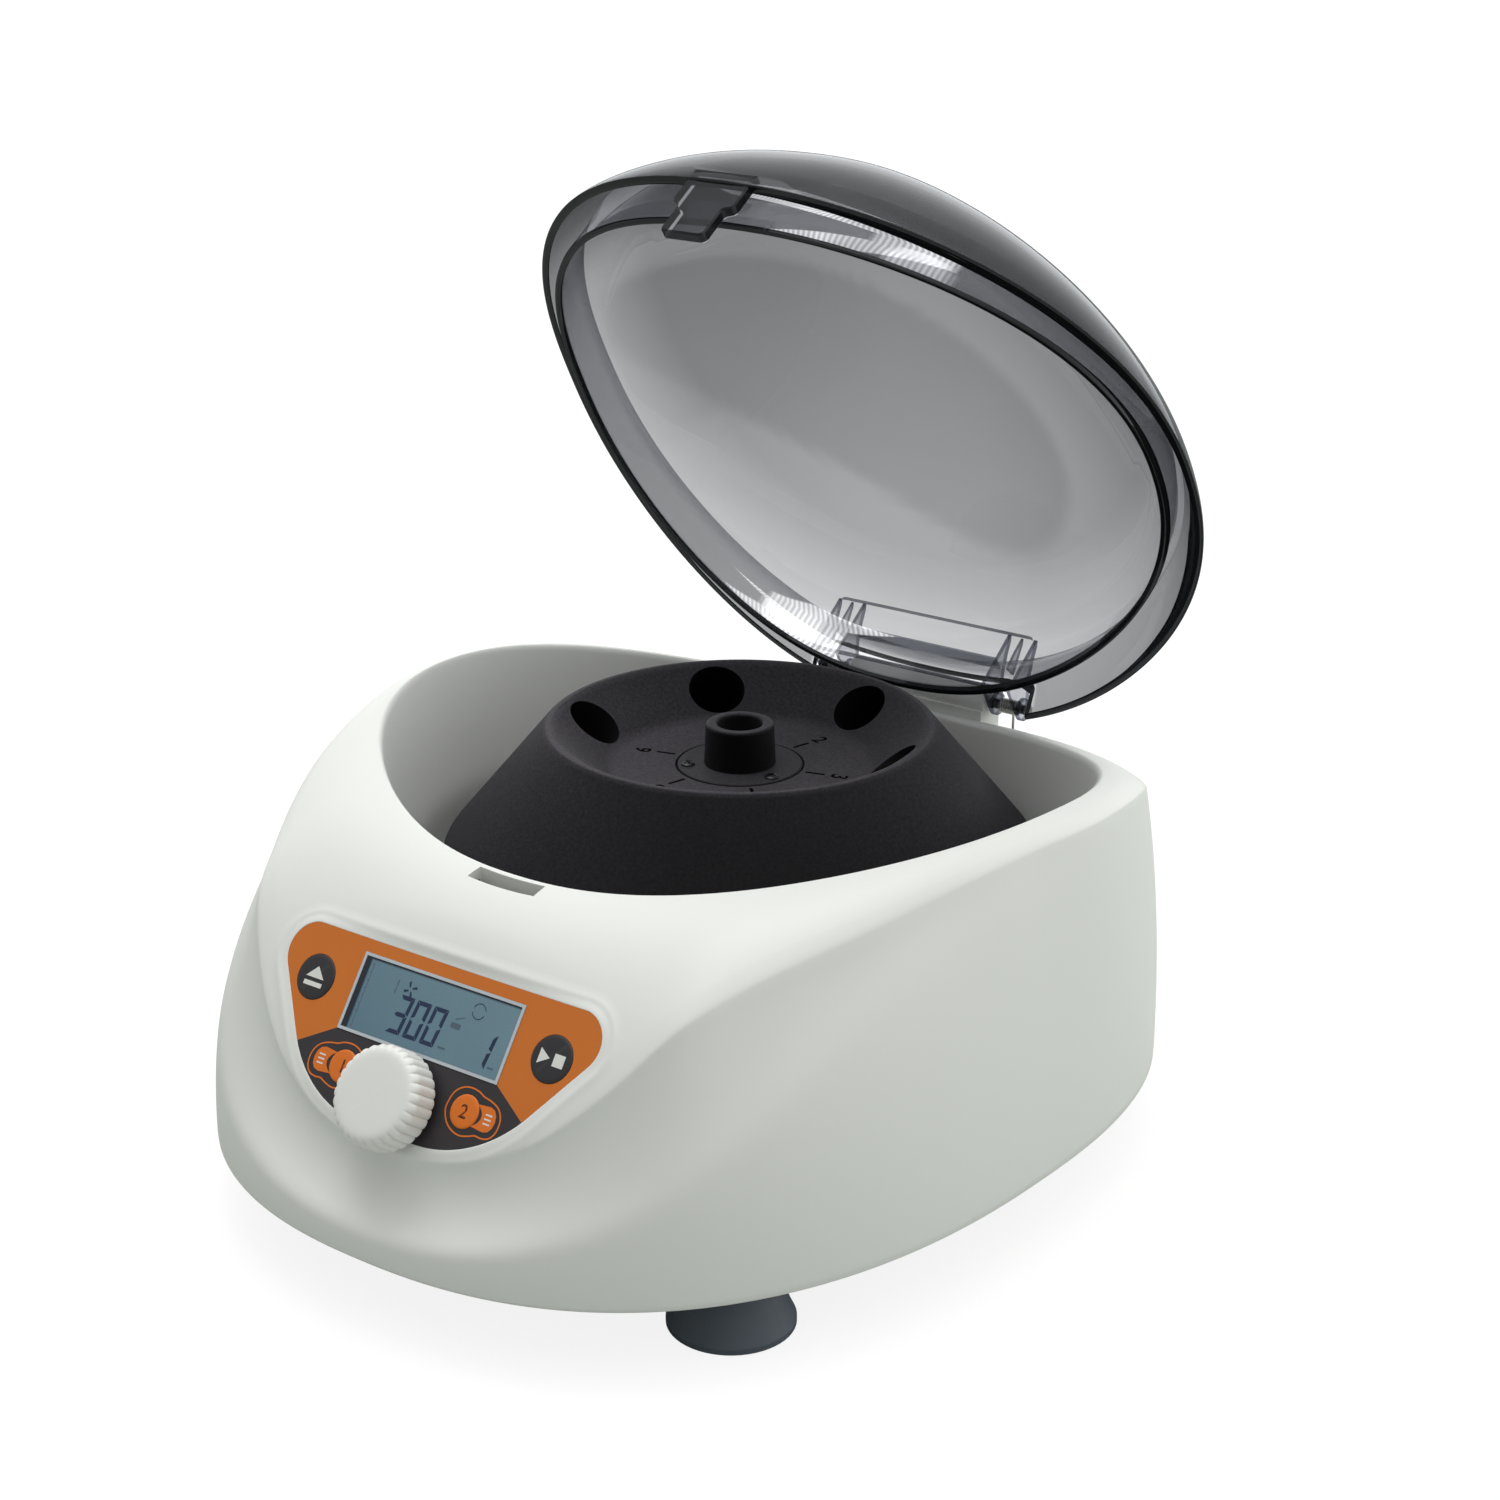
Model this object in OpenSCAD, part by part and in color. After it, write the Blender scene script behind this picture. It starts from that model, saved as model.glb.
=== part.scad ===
// Compact bench-top laboratory centrifuge with a six-place fixed-angle rotor.
// Origin: on the rotor axis, in the plane of the base tray's flat underside.
// +Z is up, -Y is the control-panel side, +X is to the right of someone facing the panel.

/* [Casing] */
// Half width of the casing at its lower edge, mm
case_a = 124.6; // [123:0.1:126]
// Half length of the casing at its lower edge, mm
case_b = 142.6; // [141.5:0.1:144]
// Offset of the casing's middle behind the rotor axis, mm
case_yc = -27.9; // [-28.5:0.1:-27.5]
// Wall thickness of the casing shell, mm
wall = 2.6; // [2.4:0.1:3]
// Height of the rotor hub's top above the tray's underside, mm
hub_z = 102.6; // [102:0.1:103.2]
// Number of facets round the casing and lid shells
shell_n = 72; // [60:4:72]

/* [Chamber] */
// Half width of the chamber's rim, mm
rim_a = 109.3; // [109:0.1:110]
// Half length of the chamber's rim, mm
rim_b = 96.9; // [96.5:0.1:97.5]
// Depth of the chamber floor below the hub's top, mm
floor_d = 65; // [64.5:0.1:65.5]

/* [Control panel] */
// Slope of the control panel from horizontal, degrees
panel_tilt = 54.1; // [54:0.1:54.2]
// Diameter of the round keys, mm
key_d = 12.8; // [12:0.1:13]
// Diameter of the programme keys, mm
prog_d = 9.2; // [8.8:0.1:9.4]
// Travel of each key, mm
key_travel = 0.4; // [0.2:0.05:0.4]
// Diameter of the knob, mm
knob_d = 27.8; // [26:0.1:28.4]
// Number of grip ribs round the knob
knob_ribs = 30; // [24:1:36]

/* [Lid] */
// Opening angle of the lid as drawn, degrees
lid_open = 56.8; // [0:0.1:58]
// Height of the lid's crown above the hub's top, mm
lid_crown = 50.6; // [46:0.1:54]
// Thickness of the lid's clear skin, mm
lid_t = 2.4; // [2:0.1:2.8]

/* [Rotor] */
// Number of tube pockets
pockets = 6; // [4:1:6]
// Diameter of a tube pocket, mm
pocket_d = 17.5; // [16.5:0.1:17.6]
// Angle of the tube pockets from vertical, degrees
pocket_tilt = 38; // [37.5:0.1:38.5]
// Radius of the rotor's upper rim, mm
rotor_rim_r = 58.5; // [58.3:0.1:58.7]
// Largest radius of the rotor, mm
rotor_max_r = 89.5; // [89.3:0.1:89.7]

/* [Feet] */
// Radius of a suction foot's lip, mm
foot_r = 17.5; // [15:0.1:18]
// Height of a suction foot, mm
foot_h = 17.4; // [16:0.1:18]

/* [Hidden] */

// ---- curve helpers -------------------------------------------------------
// Signed power: the superellipse term of a cosine or sine.
function spow(v, p) = (v < 0 ? -1 : 1) * pow(max(abs(v), 1e-7), p);
// Angle folded to -90..90, because the casing is symmetric left to right.
function fold(t) = let(u = ((t + 180) % 360 + 360) % 360 - 180) u > 90 ? 180 - u : (u < -90 ? -180 - u : u);
// Smooth (Catmull-Rom) reading of a table given every 10 degrees from -90 to 90.
function tabv(v, i) = v[i < 0 ? -i : (i > 18 ? 36 - i : i)];
function tab(v, t) = let(q = (fold(t) + 90) / 10, i = min(17, floor(q)), f = q - i,
  a = tabv(v, i - 1), b = tabv(v, i), c = tabv(v, i + 1), d = tabv(v, i + 2))
  b + 0.5 * f * (c - a + f * (2 * a - 5 * b + 4 * c - d + f * (3 * (b - c) + d - a)));
// Soft minimum of two heights.
function smin(a, b, k) = let(h = max(k - abs(a - b), 0) / k) min(a, b) - h * h * k / 4;

// Egg-shaped plan outline: half sizes a and b, centre yc, skews k and k2, squareness n.
function plan(t, a, b, yc, k, k2, n) = let(X = spow(cos(t), 2 / n), Y = spow(sin(t), 2 / n))
  [a * X * (1 + k * Y + k2 * Y * Y), yc + b * Y];
function sn(t, n) = spow(sin(t), 2 / n);

// Casing lower outline, scaled by s about its own middle.
function case_pt(t, s = 1) = plan(t, case_a * s, case_b * s, case_yc, 0.072, 0.039, 2.335);
// Side crease of the casing: plan scale and height, every 10 degrees from front to back.
crease_s = [0.923, 0.918, 0.910, 0.898, 0.883, 0.856, 0.852, 0.864, 0.883, 0.914, 0.940, 0.947, 0.950, 0.956, 0.968, 0.974, 0.973, 0.970, 0.967];
crease_z = [-70, -67.5, -59, -44.5, -28.5, -20.3, -15, -10.8, -7, -4.2, -4.4, -6.2, -10, -16.4, -22.8, -26.7, -29.5, -31.8, -33];
function crease_pt(t) = concat(case_pt(t, tab(crease_s, t)), [hub_z + tab(crease_z, t)]);
// Chamber rim: a saddle, high at the sides and low at front and back.
function rim_z(Y) = hub_z - 0.4 - 4.53 * Y - 17.6 * Y * Y;
function rim_pt(t, g = 0) = concat(plan(t, rim_a + g, rim_b + g, -4.75, 0.035, -0.149, 2.28), [rim_z(sn(t, 2.28))]);
// Height of the casing's sloping front at depth y, 1.2 mm proud of the panel.
pan_y = -138.7; pan_z = hub_z - 41.5;
function pan_h(y) = pan_z + 2 + (y - pan_y) * tan(panel_tilt);
// Point on the casing's top between the rim (u = 0) and the crease (u = 1).
function top_pt(t, u) = let(r = rim_pt(t), c = crease_pt(t), x = r[0] + (c[0] - r[0]) * u, y = r[1] + (c[1] - r[1]) * u)
  [x, y, smin(r[2] + (c[2] - r[2]) * u * u, pan_h(y), 5)];
// Point on the casing's side between the lower edge (w = 0) and the crease (w = 1), with a scoop below the panel.
low_z = hub_z - 100;
// Top of the tray's floor.
tray_t = low_z + 1.2;
function side_pt(t, w) = let(c = top_pt(t, 1), s = 1 - (1 - tab(crease_s, t)) * pow(w, 2.3) - scoop(t, w), p = case_pt(t, s))
  [p[0], p[1], low_z + (c[2] - low_z) * w];
function scoop(t, w) = let(d = (fold(t) + 90) / 42) 0.028 * exp(-d * d) * pow(sin(180 * pow(w, 1.35)), 2);

// Closed shell swept round the vertical axis: rows of rings joined in a loop (torus-like).
module swept(rows, loop = true) {
  n = len(rows[0]); m = len(rows);
  pts = [for (r = rows) for (p = r) p];
  lim = loop ? m - 1 : m - 2;
  f1 = [for (k = [0:lim]) for (i = [0:n - 1]) let(j = (i + 1) % n, q = (k + 1) % m) [k * n + i, q * n + j, k * n + j]];
  f2 = [for (k = [0:lim]) for (i = [0:n - 1]) let(j = (i + 1) % n, q = (k + 1) % m) [k * n + i, q * n + i, q * n + j]];
  caps = loop ? [] : [for (i = [1:n - 2]) each [[0, i, i + 1], [(m - 1) * n, (m - 1) * n + i + 1, (m - 1) * n + i]]];
  polyhedron(pts, concat(f1, f2, caps), convexity = 8);
}
angs = [for (i = [0:shell_n - 1]) -90 + 360 * i / shell_n];
function inset3(p, c, d, dz) = let(v = [p[0] - c[0], p[1] - c[1]], L = norm(v)) [p[0] - v[0] / L * d, p[1] - v[1] / L * d, p[2] - dz];
mid = [0, case_yc];
// Plan of the chamber wall at depth q (0 at the rim, 1 at the floor).
function bowl_pt(t, q, g = 0) = let(e = min(1, q * 1.4), a = rim_a * (1 - e) + 98 * e, b = rim_b * (1 - e) + 95.5 * e, yc = -4.75 * (1 - e) - 3.4 * e,
  p = plan(t, a + g, b + g, yc, 0.035 * (1 - e), -0.149 * (1 - e) - 0.1 * e, 2.28 - 0.2 * e)) p;
floor_z = hub_z - floor_d;
function bowl3(t, q, g = 0) = let(r = rim_pt(t)) concat(bowl_pt(t, q, g), [r[2] + (floor_z + 9 - r[2]) * q]);

module upper_housing() {
  color("whitesmoke") difference() {
    swept([
      [for (t = angs) concat(case_pt(t, 0.994), [low_z])],
      [for (t = angs) concat(case_pt(t, 1), [low_z + 1.4])],
      for (w = [0.14, 0.28, 0.42, 0.55, 0.67, 0.78, 0.87, 0.94, 0.985]) [for (t = angs) side_pt(t, w)],
      for (u = [0.985, 0.94, 0.84, 0.68, 0.5, 0.33, 0.17, 0.05]) [for (t = angs) top_pt(t, u)],
      [for (t = angs) let(p = rim_pt(t, 0.6)) [p[0], p[1], p[2] + 0.1]],
      [for (t = angs) let(p = rim_pt(t, -0.1)) [p[0], p[1], p[2] - 0.8]],
      for (q = [0.15, 0.4, 0.7, 1]) [for (t = angs) bowl3(t, q)],
      [for (t = angs) concat(0.965 * bowl_pt(t, 1), [floor_z + 3])],
      [for (t = angs) concat(0.91 * bowl_pt(t, 1), [floor_z])],
      [for (t = angs) [30 * cos(t), 30 * sin(t), floor_z]],
      [for (t = angs) [15 * cos(t), 15 * sin(t), floor_z]],
      [for (t = angs) [15 * cos(t), 15 * sin(t), floor_z - wall]],
      [for (t = angs) concat(0.92 * bowl_pt(t, 1), [floor_z - wall])],
      [for (t = angs) concat(0.985 * bowl_pt(t, 1, 1), [floor_z + 1])],
      for (q = [1, 0.7, 0.4, 0.2]) [for (t = angs) bowl3(t, q, wall)],
      [for (t = angs) let(p = top_pt(t, 0.12), r = rim_pt(t, wall + 0.6)) [r[0], r[1], r[2] - 3.4]],
      for (u = [0.3, 0.5, 0.68, 0.84, 0.95]) [for (t = angs) let(p = top_pt(t, u), k = sn(t, 2.335)) inset3(p, mid, 1.6, k < 0 ? 3.2 - 1.9 * k : 3.2)],
      for (w = [0.9, 0.72, 0.5, 0.28]) [for (t = angs) inset3(side_pt(t, w), mid, wall + 0.25, w > 0.8 ? 3.4 : 0)],
      [for (t = angs) inset3(concat(case_pt(t, 0.998), [low_z]), mid, wall + 0.2, 0)]
    ]);
    // window for the control panel
    panel_frame() translate([0, 0, -12]) linear_extrude(30) shield(0.3);
    // latch slot ahead of the rim
    translate([-11.7, -109.8, hub_z - 26]) cube([23.4, 5.4, 14]);
    // notch for the lid hinge
    translate([-44, 94.9, hub_z - 34.6]) cube([88, 30, 40]);
    // rear opening for the mains panel
    translate([-48, 96, 5.2]) cube([96, 30, 27]);
  }
}

// Control-panel frame: x right, y up the slope, z out of the panel; z = 0 is the label's face.
module panel_frame() { translate([0, pan_y, pan_z]) rotate([panel_tilt, 0, 0]) children(); }
// Rounded shield outline of the panel, grown by g: a wide top, two sloping sides and a round foot.
function arc_pts(c, r, a0, a1, n) = [for (i = [0:n]) let(a = a0 + (a1 - a0) * i / n) [c[0] + r * cos(a), c[1] + r * sin(a)]];
sh_r1 = 8.6; sh_c1 = [46, 6];
sh_r2 = 38.8; sh_c2 = [9.3, 6.2];
// slope of the tangent line shared by the corner and foot arcs
sh_d = sh_c1 - sh_c2;
sh_a = atan2(sh_d[1], sh_d[0]) - acos((sh_r2 - sh_r1) / norm(sh_d));
module shield(g = 0) {
  pts = concat(arc_pts(sh_c1, sh_r1 + g, 84, sh_a, 12), arc_pts(sh_c2, sh_r2 + g, sh_a, -90, 10));
  polygon(concat([[0, 14.4 + g]], pts, [for (i = [len(pts) - 1:-1:0]) [-pts[i][0], pts[i][1]]]));
}
knob_v = -24.1;
key_x = 41.7; prog_x = 21.6; prog_v = -20.1;
lcd_w = 56.6; lcd_h = 21.9;
module panel_holes(z0, h, lcd = true, r = 0.1) {
  for (s = [-1, 1]) {
    translate([s * key_x, 0, z0]) cylinder(h = h, r = key_d / 2 + r, $fn = 48);
    translate([s * prog_x, prog_v, z0]) cylinder(h = h, r = prog_d / 2 + r, $fn = 48);
  }
  translate([0, knob_v, z0]) cylinder(h = h, r = 4.6, $fn = 48);
  if (lcd) translate([-lcd_w / 2, -lcd_h / 2, z0]) cube([lcd_w, lcd_h, h]);
}
module control_carrier() {
  color("whitesmoke") panel_frame() difference() {
    translate([0, 0, -4.4]) linear_extrude(3.4) shield(0);
    panel_holes(-5, 5);
    for (x = [-1, 1]) translate([x * 33, 11.2, -5]) cylinder(h = 3, r = 0.9, $fn = 24);
  }
}
module panel_label() {
  color("darkorange") panel_frame() difference() {
    translate([0, 0, -1]) linear_extrude(0.8) shield(0);
    panel_holes(-1.5, 2);
  }
}
module lcd_frame() {
  color("lightsteelblue") panel_frame() difference() {
    translate([-lcd_w / 2 + 0.05, -lcd_h / 2 + 0.05, -6]) cube([lcd_w - 0.1, lcd_h - 0.1, 6.05]);
    translate([-lcd_w / 2 + 0.9, -lcd_h / 2 + 0.9, -1.1]) cube([lcd_w - 1.8, lcd_h - 1.8, 3]);
  }
}
module lcd_glass() {
  color("cadetblue") panel_frame() translate([-lcd_w / 2 + 0.95, -lcd_h / 2 + 0.95, -1.1]) cube([lcd_w - 1.9, lcd_h - 1.9, 1.0]);
}
module control_board() {
  color("darkgreen") panel_frame() difference() {
    union() {
      translate([-46, -9, -8]) cube([92, 20, 1.6]);
      translate([-30, -28, -8]) cube([60, 20, 1.6]);
    }
    for (x = [-1, 1]) translate([x * 33, 11.2, -9]) cylinder(h = 4, r = 3.2, $fn = 24);
    translate([0, knob_v, -9]) cylinder(h = 4, r = 2.6, $fn = 32);
    for (x = [-1, 1]) translate([x * 40, 8.2, -9]) cylinder(h = 4, r = 1.1, $fn = 24);
  }
}
module board_screws() {
  color("silver") panel_frame() for (x = [-1, 1]) {
    translate([x * 40, 8.2, -9.6]) cylinder(h = 1.6, r = 2.1, $fn = 24);
    translate([x * 40, 8.2, -8]) cylinder(h = 3.6, r = 1.05, $fn = 24);
  }
}
module key_switches() {
  color("dimgray") panel_frame() for (p = [[-key_x, 0], [key_x, 0], [-prog_x, prog_v], [prog_x, prog_v]]) translate([p[0], p[1], -6.4]) {
    translate([-3, -3, 0]) cube([6, 6, 1.6]);
    translate([0, 0, 1.6]) cylinder(h = 0.4, r = 1.6, $fn = 24);
  }
}
module key_cap(d) {
  translate([0, 0, -2.2]) cylinder(h = 2.3, r = d / 2, $fn = 48);
  translate([0, 0, -4.4 + key_travel]) cylinder(h = 2.4 - key_travel, r = 1.4, $fn = 24);
}
module open_key() { color("black") panel_frame() translate([-key_x, 0, 0]) key_cap(key_d); }
module start_key() { color("black") panel_frame() translate([key_x, 0, 0]) key_cap(key_d); }
module program_key_1() { color("darkorange") panel_frame() translate([-prog_x, prog_v, 0]) key_cap(prog_d); }
module program_key_2() { color("darkorange") panel_frame() translate([prog_x, prog_v, 0]) key_cap(prog_d); }
module encoder_body() {
  color("gray") panel_frame() translate([0, knob_v, 0]) difference() {
    union() {
      translate([-6, -3.8, -12.4]) cube([12, 7.6, 4.4]);
      translate([-2.3, -1.1, -8]) cube([4.6, 2.2, 1.6]);
      translate([0, 0, -8]) cylinder(h = 8.3, r = 2.5, $fn = 40);
    }
    translate([0, 0, -10.4]) cylinder(h = 12, r = 1.8, $fn = 40);
    translate([0, 0, -12]) cylinder(h = 2, r = 2.6, $fn = 40);
  }
}
module encoder_plunger() {
  color("white") panel_frame() translate([0, knob_v, -11.3]) cylinder(h = 1.3, r = 2.5, $fn = 40);
}
module encoder_shaft() {
  color("silver") panel_frame() translate([0, knob_v, 0]) union() {
    translate([0, 0, -9.96]) cylinder(h = 11, r = 1.74, $fn = 40);
    translate([0, 0, 1]) cylinder(h = 6, r = 3, $fn = 40);
  }
}
module knob() {
  color("white") panel_frame() translate([0, knob_v, 0]) difference() {
    union() {
      rotate_extrude($fn = 72) polygon([[0, 1.6], [knob_d / 2 - 1.2, 1.6], [knob_d / 2 - 0.6, 2.2], [knob_d / 2 - 0.7, 9], [knob_d / 2 - 2, 10.6], [0, 11.2]]);
      translate([0, 0, 2]) linear_extrude(6.9) polygon([for (i = [0:knob_ribs * 6 - 1]) let(a = 360 * i / (knob_ribs * 6), r = knob_d / 2 - 0.75 + 0.75 * sqrt(abs(cos(a * knob_ribs / 2)))) [r * cos(a), r * sin(a)]]);
    }
    translate([0, 0, 1]) cylinder(h = 6.05, r = 3, $fn = 40);
    difference() {
      translate([0, 0, 1]) cylinder(h = 6, r = knob_d / 2 - 3.4, $fn = 48);
      translate([0, 0, 1]) cylinder(h = 6, r = 5, $fn = 40);
    }
  }
}

// ---- base ----------------------------------------------------------------
module base_tray() {
  foot_at = feet_pos();
  color("gainsboro") difference() {
    union() {
      linear_extrude(low_z) polygon([for (t = angs) case_pt(t, 0.945)]);
      translate([0, 0, low_z - 0.8]) linear_extrude(2) polygon([for (t = angs) case_pt(t, 0.966)]);
      for (p = foot_at) translate([p[0], p[1], 0]) cylinder(h = 7.6, r = 6, $fn = 40);
      for (p = damper_pos()) translate([p[0], p[1], 0]) cylinder(h = 4, r = 5, $fn = 40);
      for (p = post_pos()) translate([p[0], p[1], 0]) cylinder(h = 7, r = 3.2, $fn = 32);
    }
    for (p = foot_at) translate([p[0], p[1], -1]) cylinder(h = 6, r = 2.1, $fn = 32);
    for (p = damper_pos()) translate([p[0], p[1], -1]) cylinder(h = 6, r = 1.6, $fn = 32);
    for (p = post_pos()) translate([p[0], p[1], 1.6]) cylinder(h = 6, r = 1.1, $fn = 32);
    // centre hole on the rotor axis
    translate([0, 0, -1]) cylinder(h = 6, r = 4, $fn = 48);
    // cooling slots
    for (i = [-4:4]) for (s = [-1, 1]) translate([s * 62 - 14, i * 6 - 1.2 - 8, -1]) cube([28, 2.4, 8]);
  }
}
function feet_pos() = [[-77.8, -110.5], [77.8, -110.5], [-80, 58], [80, 58]];
function damper_pos() = [for (a = [90, 210, 330]) [37.6 * cos(a), 37.6 * sin(a)]];
function post_pos() = [[60, 32], [94, 32], [60, -62], [94, -62]];
module suction_feet() {
  color("slategray") for (p = feet_pos()) translate([p[0], p[1], 0]) rotate_extrude($fn = 64)
    polygon([[2.2, 0], [12.4, 0], [12.8, -1.6], [12.4, -3.2], [12.6, -5], [14.6, -8.6], [foot_r - 1.2, -foot_h + 4.6], [foot_r, -foot_h + 2], [foot_r, -foot_h + 0.4],
      [foot_r - 0.6, -foot_h], [foot_r - 1.6, -foot_h], [foot_r - 4, -foot_h + 3.4], [8, -foot_h + 5.8], [4.6, -foot_h + 6.62], [2.2, -foot_h + 6.62]]);
}
module foot_screws() {
  color("silver") for (p = feet_pos()) translate([p[0], p[1], 0]) {
    translate([0, 0, -foot_h + 4.6]) cylinder(h = 2, r = 4, $fn = 32);
    translate([0, 0, -foot_h + 6.6]) cylinder(h = foot_h - 2, r = 2.05, $fn = 32);
  }
}
module tray_screws() {
  color("silver") for (p = feet_pos()) translate([p[0] * 0.72, p[1] + (p[1] < 0 ? -22 : 22), 0]) {
    translate([0, 0, tray_t]) cylinder(h = 1.8, r = 3, $fn = 32);
    translate([0, 0, tray_t + 1.8]) cylinder(h = 0.5, r = 1.2, $fn = 32);
  }
}
module rear_panel() {
  color("gainsboro") difference() {
    union() {
      translate([-47.8, 98, 5.4]) cube([95.6, 2.6, 26.6]);
      // liner of the recess in the casing
      difference() {
        translate([-47.8, 98, 5.4]) cube([95.6, 11.4, 26.6]);
        translate([-46.4, 99, 6.8]) cube([92.8, 12, 23.8]);
      }
      translate([-44, 96.6, tray_t]) cube([88, 4, 2]);
    }
    translate([-36, 97, 8.6]) cube([27.2, 5, 20]);
    translate([12, 97, 11.6]) cube([19.2, 5, 13]);
  }
}
module power_inlet() {
  color([0.13, 0.13, 0.14]) difference() {
    union() {
      translate([-35.9, 82, 8.7]) cube([27, 18.6, 19.8]);
      translate([-37.6, 100.6, 7]) cube([30.4, 2.4, 23]);
    }
    translate([-34.4, 87, 11]) cube([24, 18, 15.4]);
  }
}
module inlet_pins() {
  color("gold") for (x = [-7, 0, 7]) translate([-22.4 + x - 1, 78, x == 0 ? 19.4 : 15.4]) cube([2, 20.6, 4]);
}
module switch_body() {
  color([0.13, 0.13, 0.14]) difference() {
    union() {
      translate([12.1, 84, 11.7]) cube([19, 16.6, 12.8]);
      translate([11, 100.6, 10.6]) cube([21.2, 2.2, 15]);
    }
    translate([13.6, 90, 13.1]) cube([16, 16, 10]);
    // pivot holes of the rocker
    translate([12, 98.4, 18.1]) rotate([0, 90, 0]) cylinder(h = 20, r = 1.26, $fn = 32);
  }
}
module power_rocker() {
  color("firebrick") translate([0, 98.4, 18.1]) rotate([-7, 0, 0]) rotate([0, 90, 0]) {
    translate([0, 0, 14.4]) linear_extrude(14.4) polygon([[-4.3, 2.6], [-4.2, 5.6], [-2, 4.9], [0, 4.6], [2, 4.9], [4.2, 5.6], [4.3, 2.6], [2, -2], [-2, -2]]);
    translate([0, 0, 12.6]) cylinder(h = 18, r = 1.2, $fn = 32);
  }
}

// ---- lid -----------------------------------------------------------------
hinge_y = 101.1; hinge_z = hub_z - 17.6;
module lid_pose() { translate([0, hinge_y, hinge_z]) rotate([-lid_open, 0, 0]) translate([0, -hinge_y, -hinge_z]) children(); }
function lid_e(Y) = hub_z + 1.4 - 5.26 * Y - 19.9 * Y * Y;
// Point on the lid's skin: f from 0 at the edge to 1 at the crown, g insets it.
crown_y = -35.3;
function lid_pt(t, f, g = 0) = let(p = plan(t, 113.48 - g, 108.32 - g, -0.97, 0.035, -0.149, 2.28), r = pow(cos(90 * f), 1.036), w = pow(sin(90 * f), 1.499), z = lid_e(sn(t, 2.28)))
  [p[0] * r, crown_y + (p[1] - crown_y) * r, z * (1 - w) + (hub_z + lid_crown - g) * w];
function lip_pt(t, g, dz) = let(Y = sn(t, 2.28), p = plan(t, 105.54 - g, 93.14 - g, -4.75, 0.035, -0.149, 2.28)) [p[0], p[1], lid_e(Y) - 5.1 + dz];
module lid() {
  color([0.45, 0.47, 0.5, 0.5]) lid_pose() difference() {
    swept([
      for (f = [0.985, 0.85, 0.7, 0.55, 0.44]) [for (t = angs) lid_pt(t, f, lid_t)],
      [for (t = angs) let(q = lid_pt(t, 0.325, lid_t), l = lip_pt(t, 2, 0)) [(q[0] + l[0]) / 2, (q[1] + l[1]) / 2, q[2]]],
      [for (t = angs) lip_pt(t, 2.2, 12)],
      [for (t = angs) lip_pt(t, 2, 0.4)],
      [for (t = angs) lip_pt(t, 1.4, 0)],
      [for (t = angs) lip_pt(t, 0.4, 0)],
      [for (t = angs) lip_pt(t, 0, 0.5)],
      [for (t = angs) lip_pt(t, 0, 12)],
      [for (t = angs) lid_pt(t, 0.17, lid_t)],
      [for (t = angs) lid_pt(t, 0.08, lid_t)],
      [for (t = angs) let(p = lid_pt(t, 0, lid_t)) [p[0], p[1], p[2] + 0.1]],
      [for (t = angs) lid_pt(t, 0)],
      for (f = [0.05, 0.12, 0.2, 0.3, 0.42, 0.55, 0.7, 0.85, 0.985]) [for (t = angs) lid_pt(t, f)]
    ], false);
    // notch in the rear skin round the hinge barrel
    translate([-41, 95, hinge_z - 20]) cube([82, 30, 26.2]);
  }
}
// Stepped latch tab under the lid's front edge, with a hole for the bolt.
module latch_tab() {
  color([0.4, 0.42, 0.45, 0.6]) lid_pose() difference() {
    translate([0, -105.3, hub_z]) rotate([90, 0, 0]) linear_extrude(3.2)
      polygon([[-9.6, -9.6], [-9.6, -22], [-7.2, -23.4], [-7.2, -31.6], [-5.6, -33.2], [5.6, -33.2], [7.2, -31.6], [7.2, -23.4], [9.6, -22], [9.6, -9.6]]);
    translate([0, -104, hub_z - 28]) rotate([90, 0, 0]) cylinder(h = 6, r = 2.6, $fn = 40);
  }
}
ear_x = [27.2, 36.8];
// Ribs between the lid's lip and skin that carry the hinge ears.
module hinge_bracket() {
  color([0.5, 0.52, 0.55, 0.6]) lid_pose() difference() {
    union() {
      for (s = [-1, 1]) for (x = ear_x) translate([s > 0 ? x : -x - 2.4, 0, 0]) {
        translate([0, hinge_y, hinge_z]) rotate([0, 90, 0]) cylinder(h = 2.4, r = 3.7, $fn = 40);
        translate([0, 0, hub_z]) rotate([90, 0, 90]) linear_extrude(2.4) polygon([[89, -20.6], [99.6, -21], [102.6, -14.4], [95.6, -9], [91.4, -4.4], [89, -4.4]]);
      }
      translate([-39.2, 89, hub_z - 20.6]) cube([78.4, 1.6, 16.2]);
      translate([-39.2, 90.4, hub_z - 10.4]) cube([78.4, 4.4, 1.4]);
    }
    translate([-50, hinge_y, hinge_z]) rotate([0, 90, 0]) cylinder(h = 100, r = 1.56, $fn = 40);
  }
}
module hinge_block() {
  color("whitesmoke") difference() {
    union() {
      translate([-26, hinge_y, hinge_z]) rotate([0, 90, 0]) cylinder(h = 52, r = 5.2, $fn = 48);
      translate([-26, 95.1, hinge_z - 16.8]) cube([52, 11.2, 15]);
      translate([-43, 95.1, hinge_z - 16.8]) cube([86, 11, 4.4]);
    }
    translate([-50, hinge_y, hinge_z]) rotate([0, 90, 0]) cylinder(h = 100, r = 1.5, $fn = 40);
    for (s = [-1, 1]) translate([s * 34, 101.4, hinge_z - 18]) cylinder(h = 8, r = 1.6, $fn = 32);
  }
}
module hinge_screws() {
  color("silver") for (s = [-1, 1]) translate([s * 34, 101.4, hinge_z - 12.4]) {
    translate([0, 0, 0]) cylinder(h = 1.6, r = 2.8, $fn = 32);
    translate([0, 0, -8]) cylinder(h = 8, r = 1.55, $fn = 32);
  }
}
module hinge_pin() {
  color("silver") translate([-40.4, hinge_y, hinge_z]) rotate([0, 90, 0]) cylinder(h = 80.8, r = 1.5, $fn = 40);
}
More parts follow.
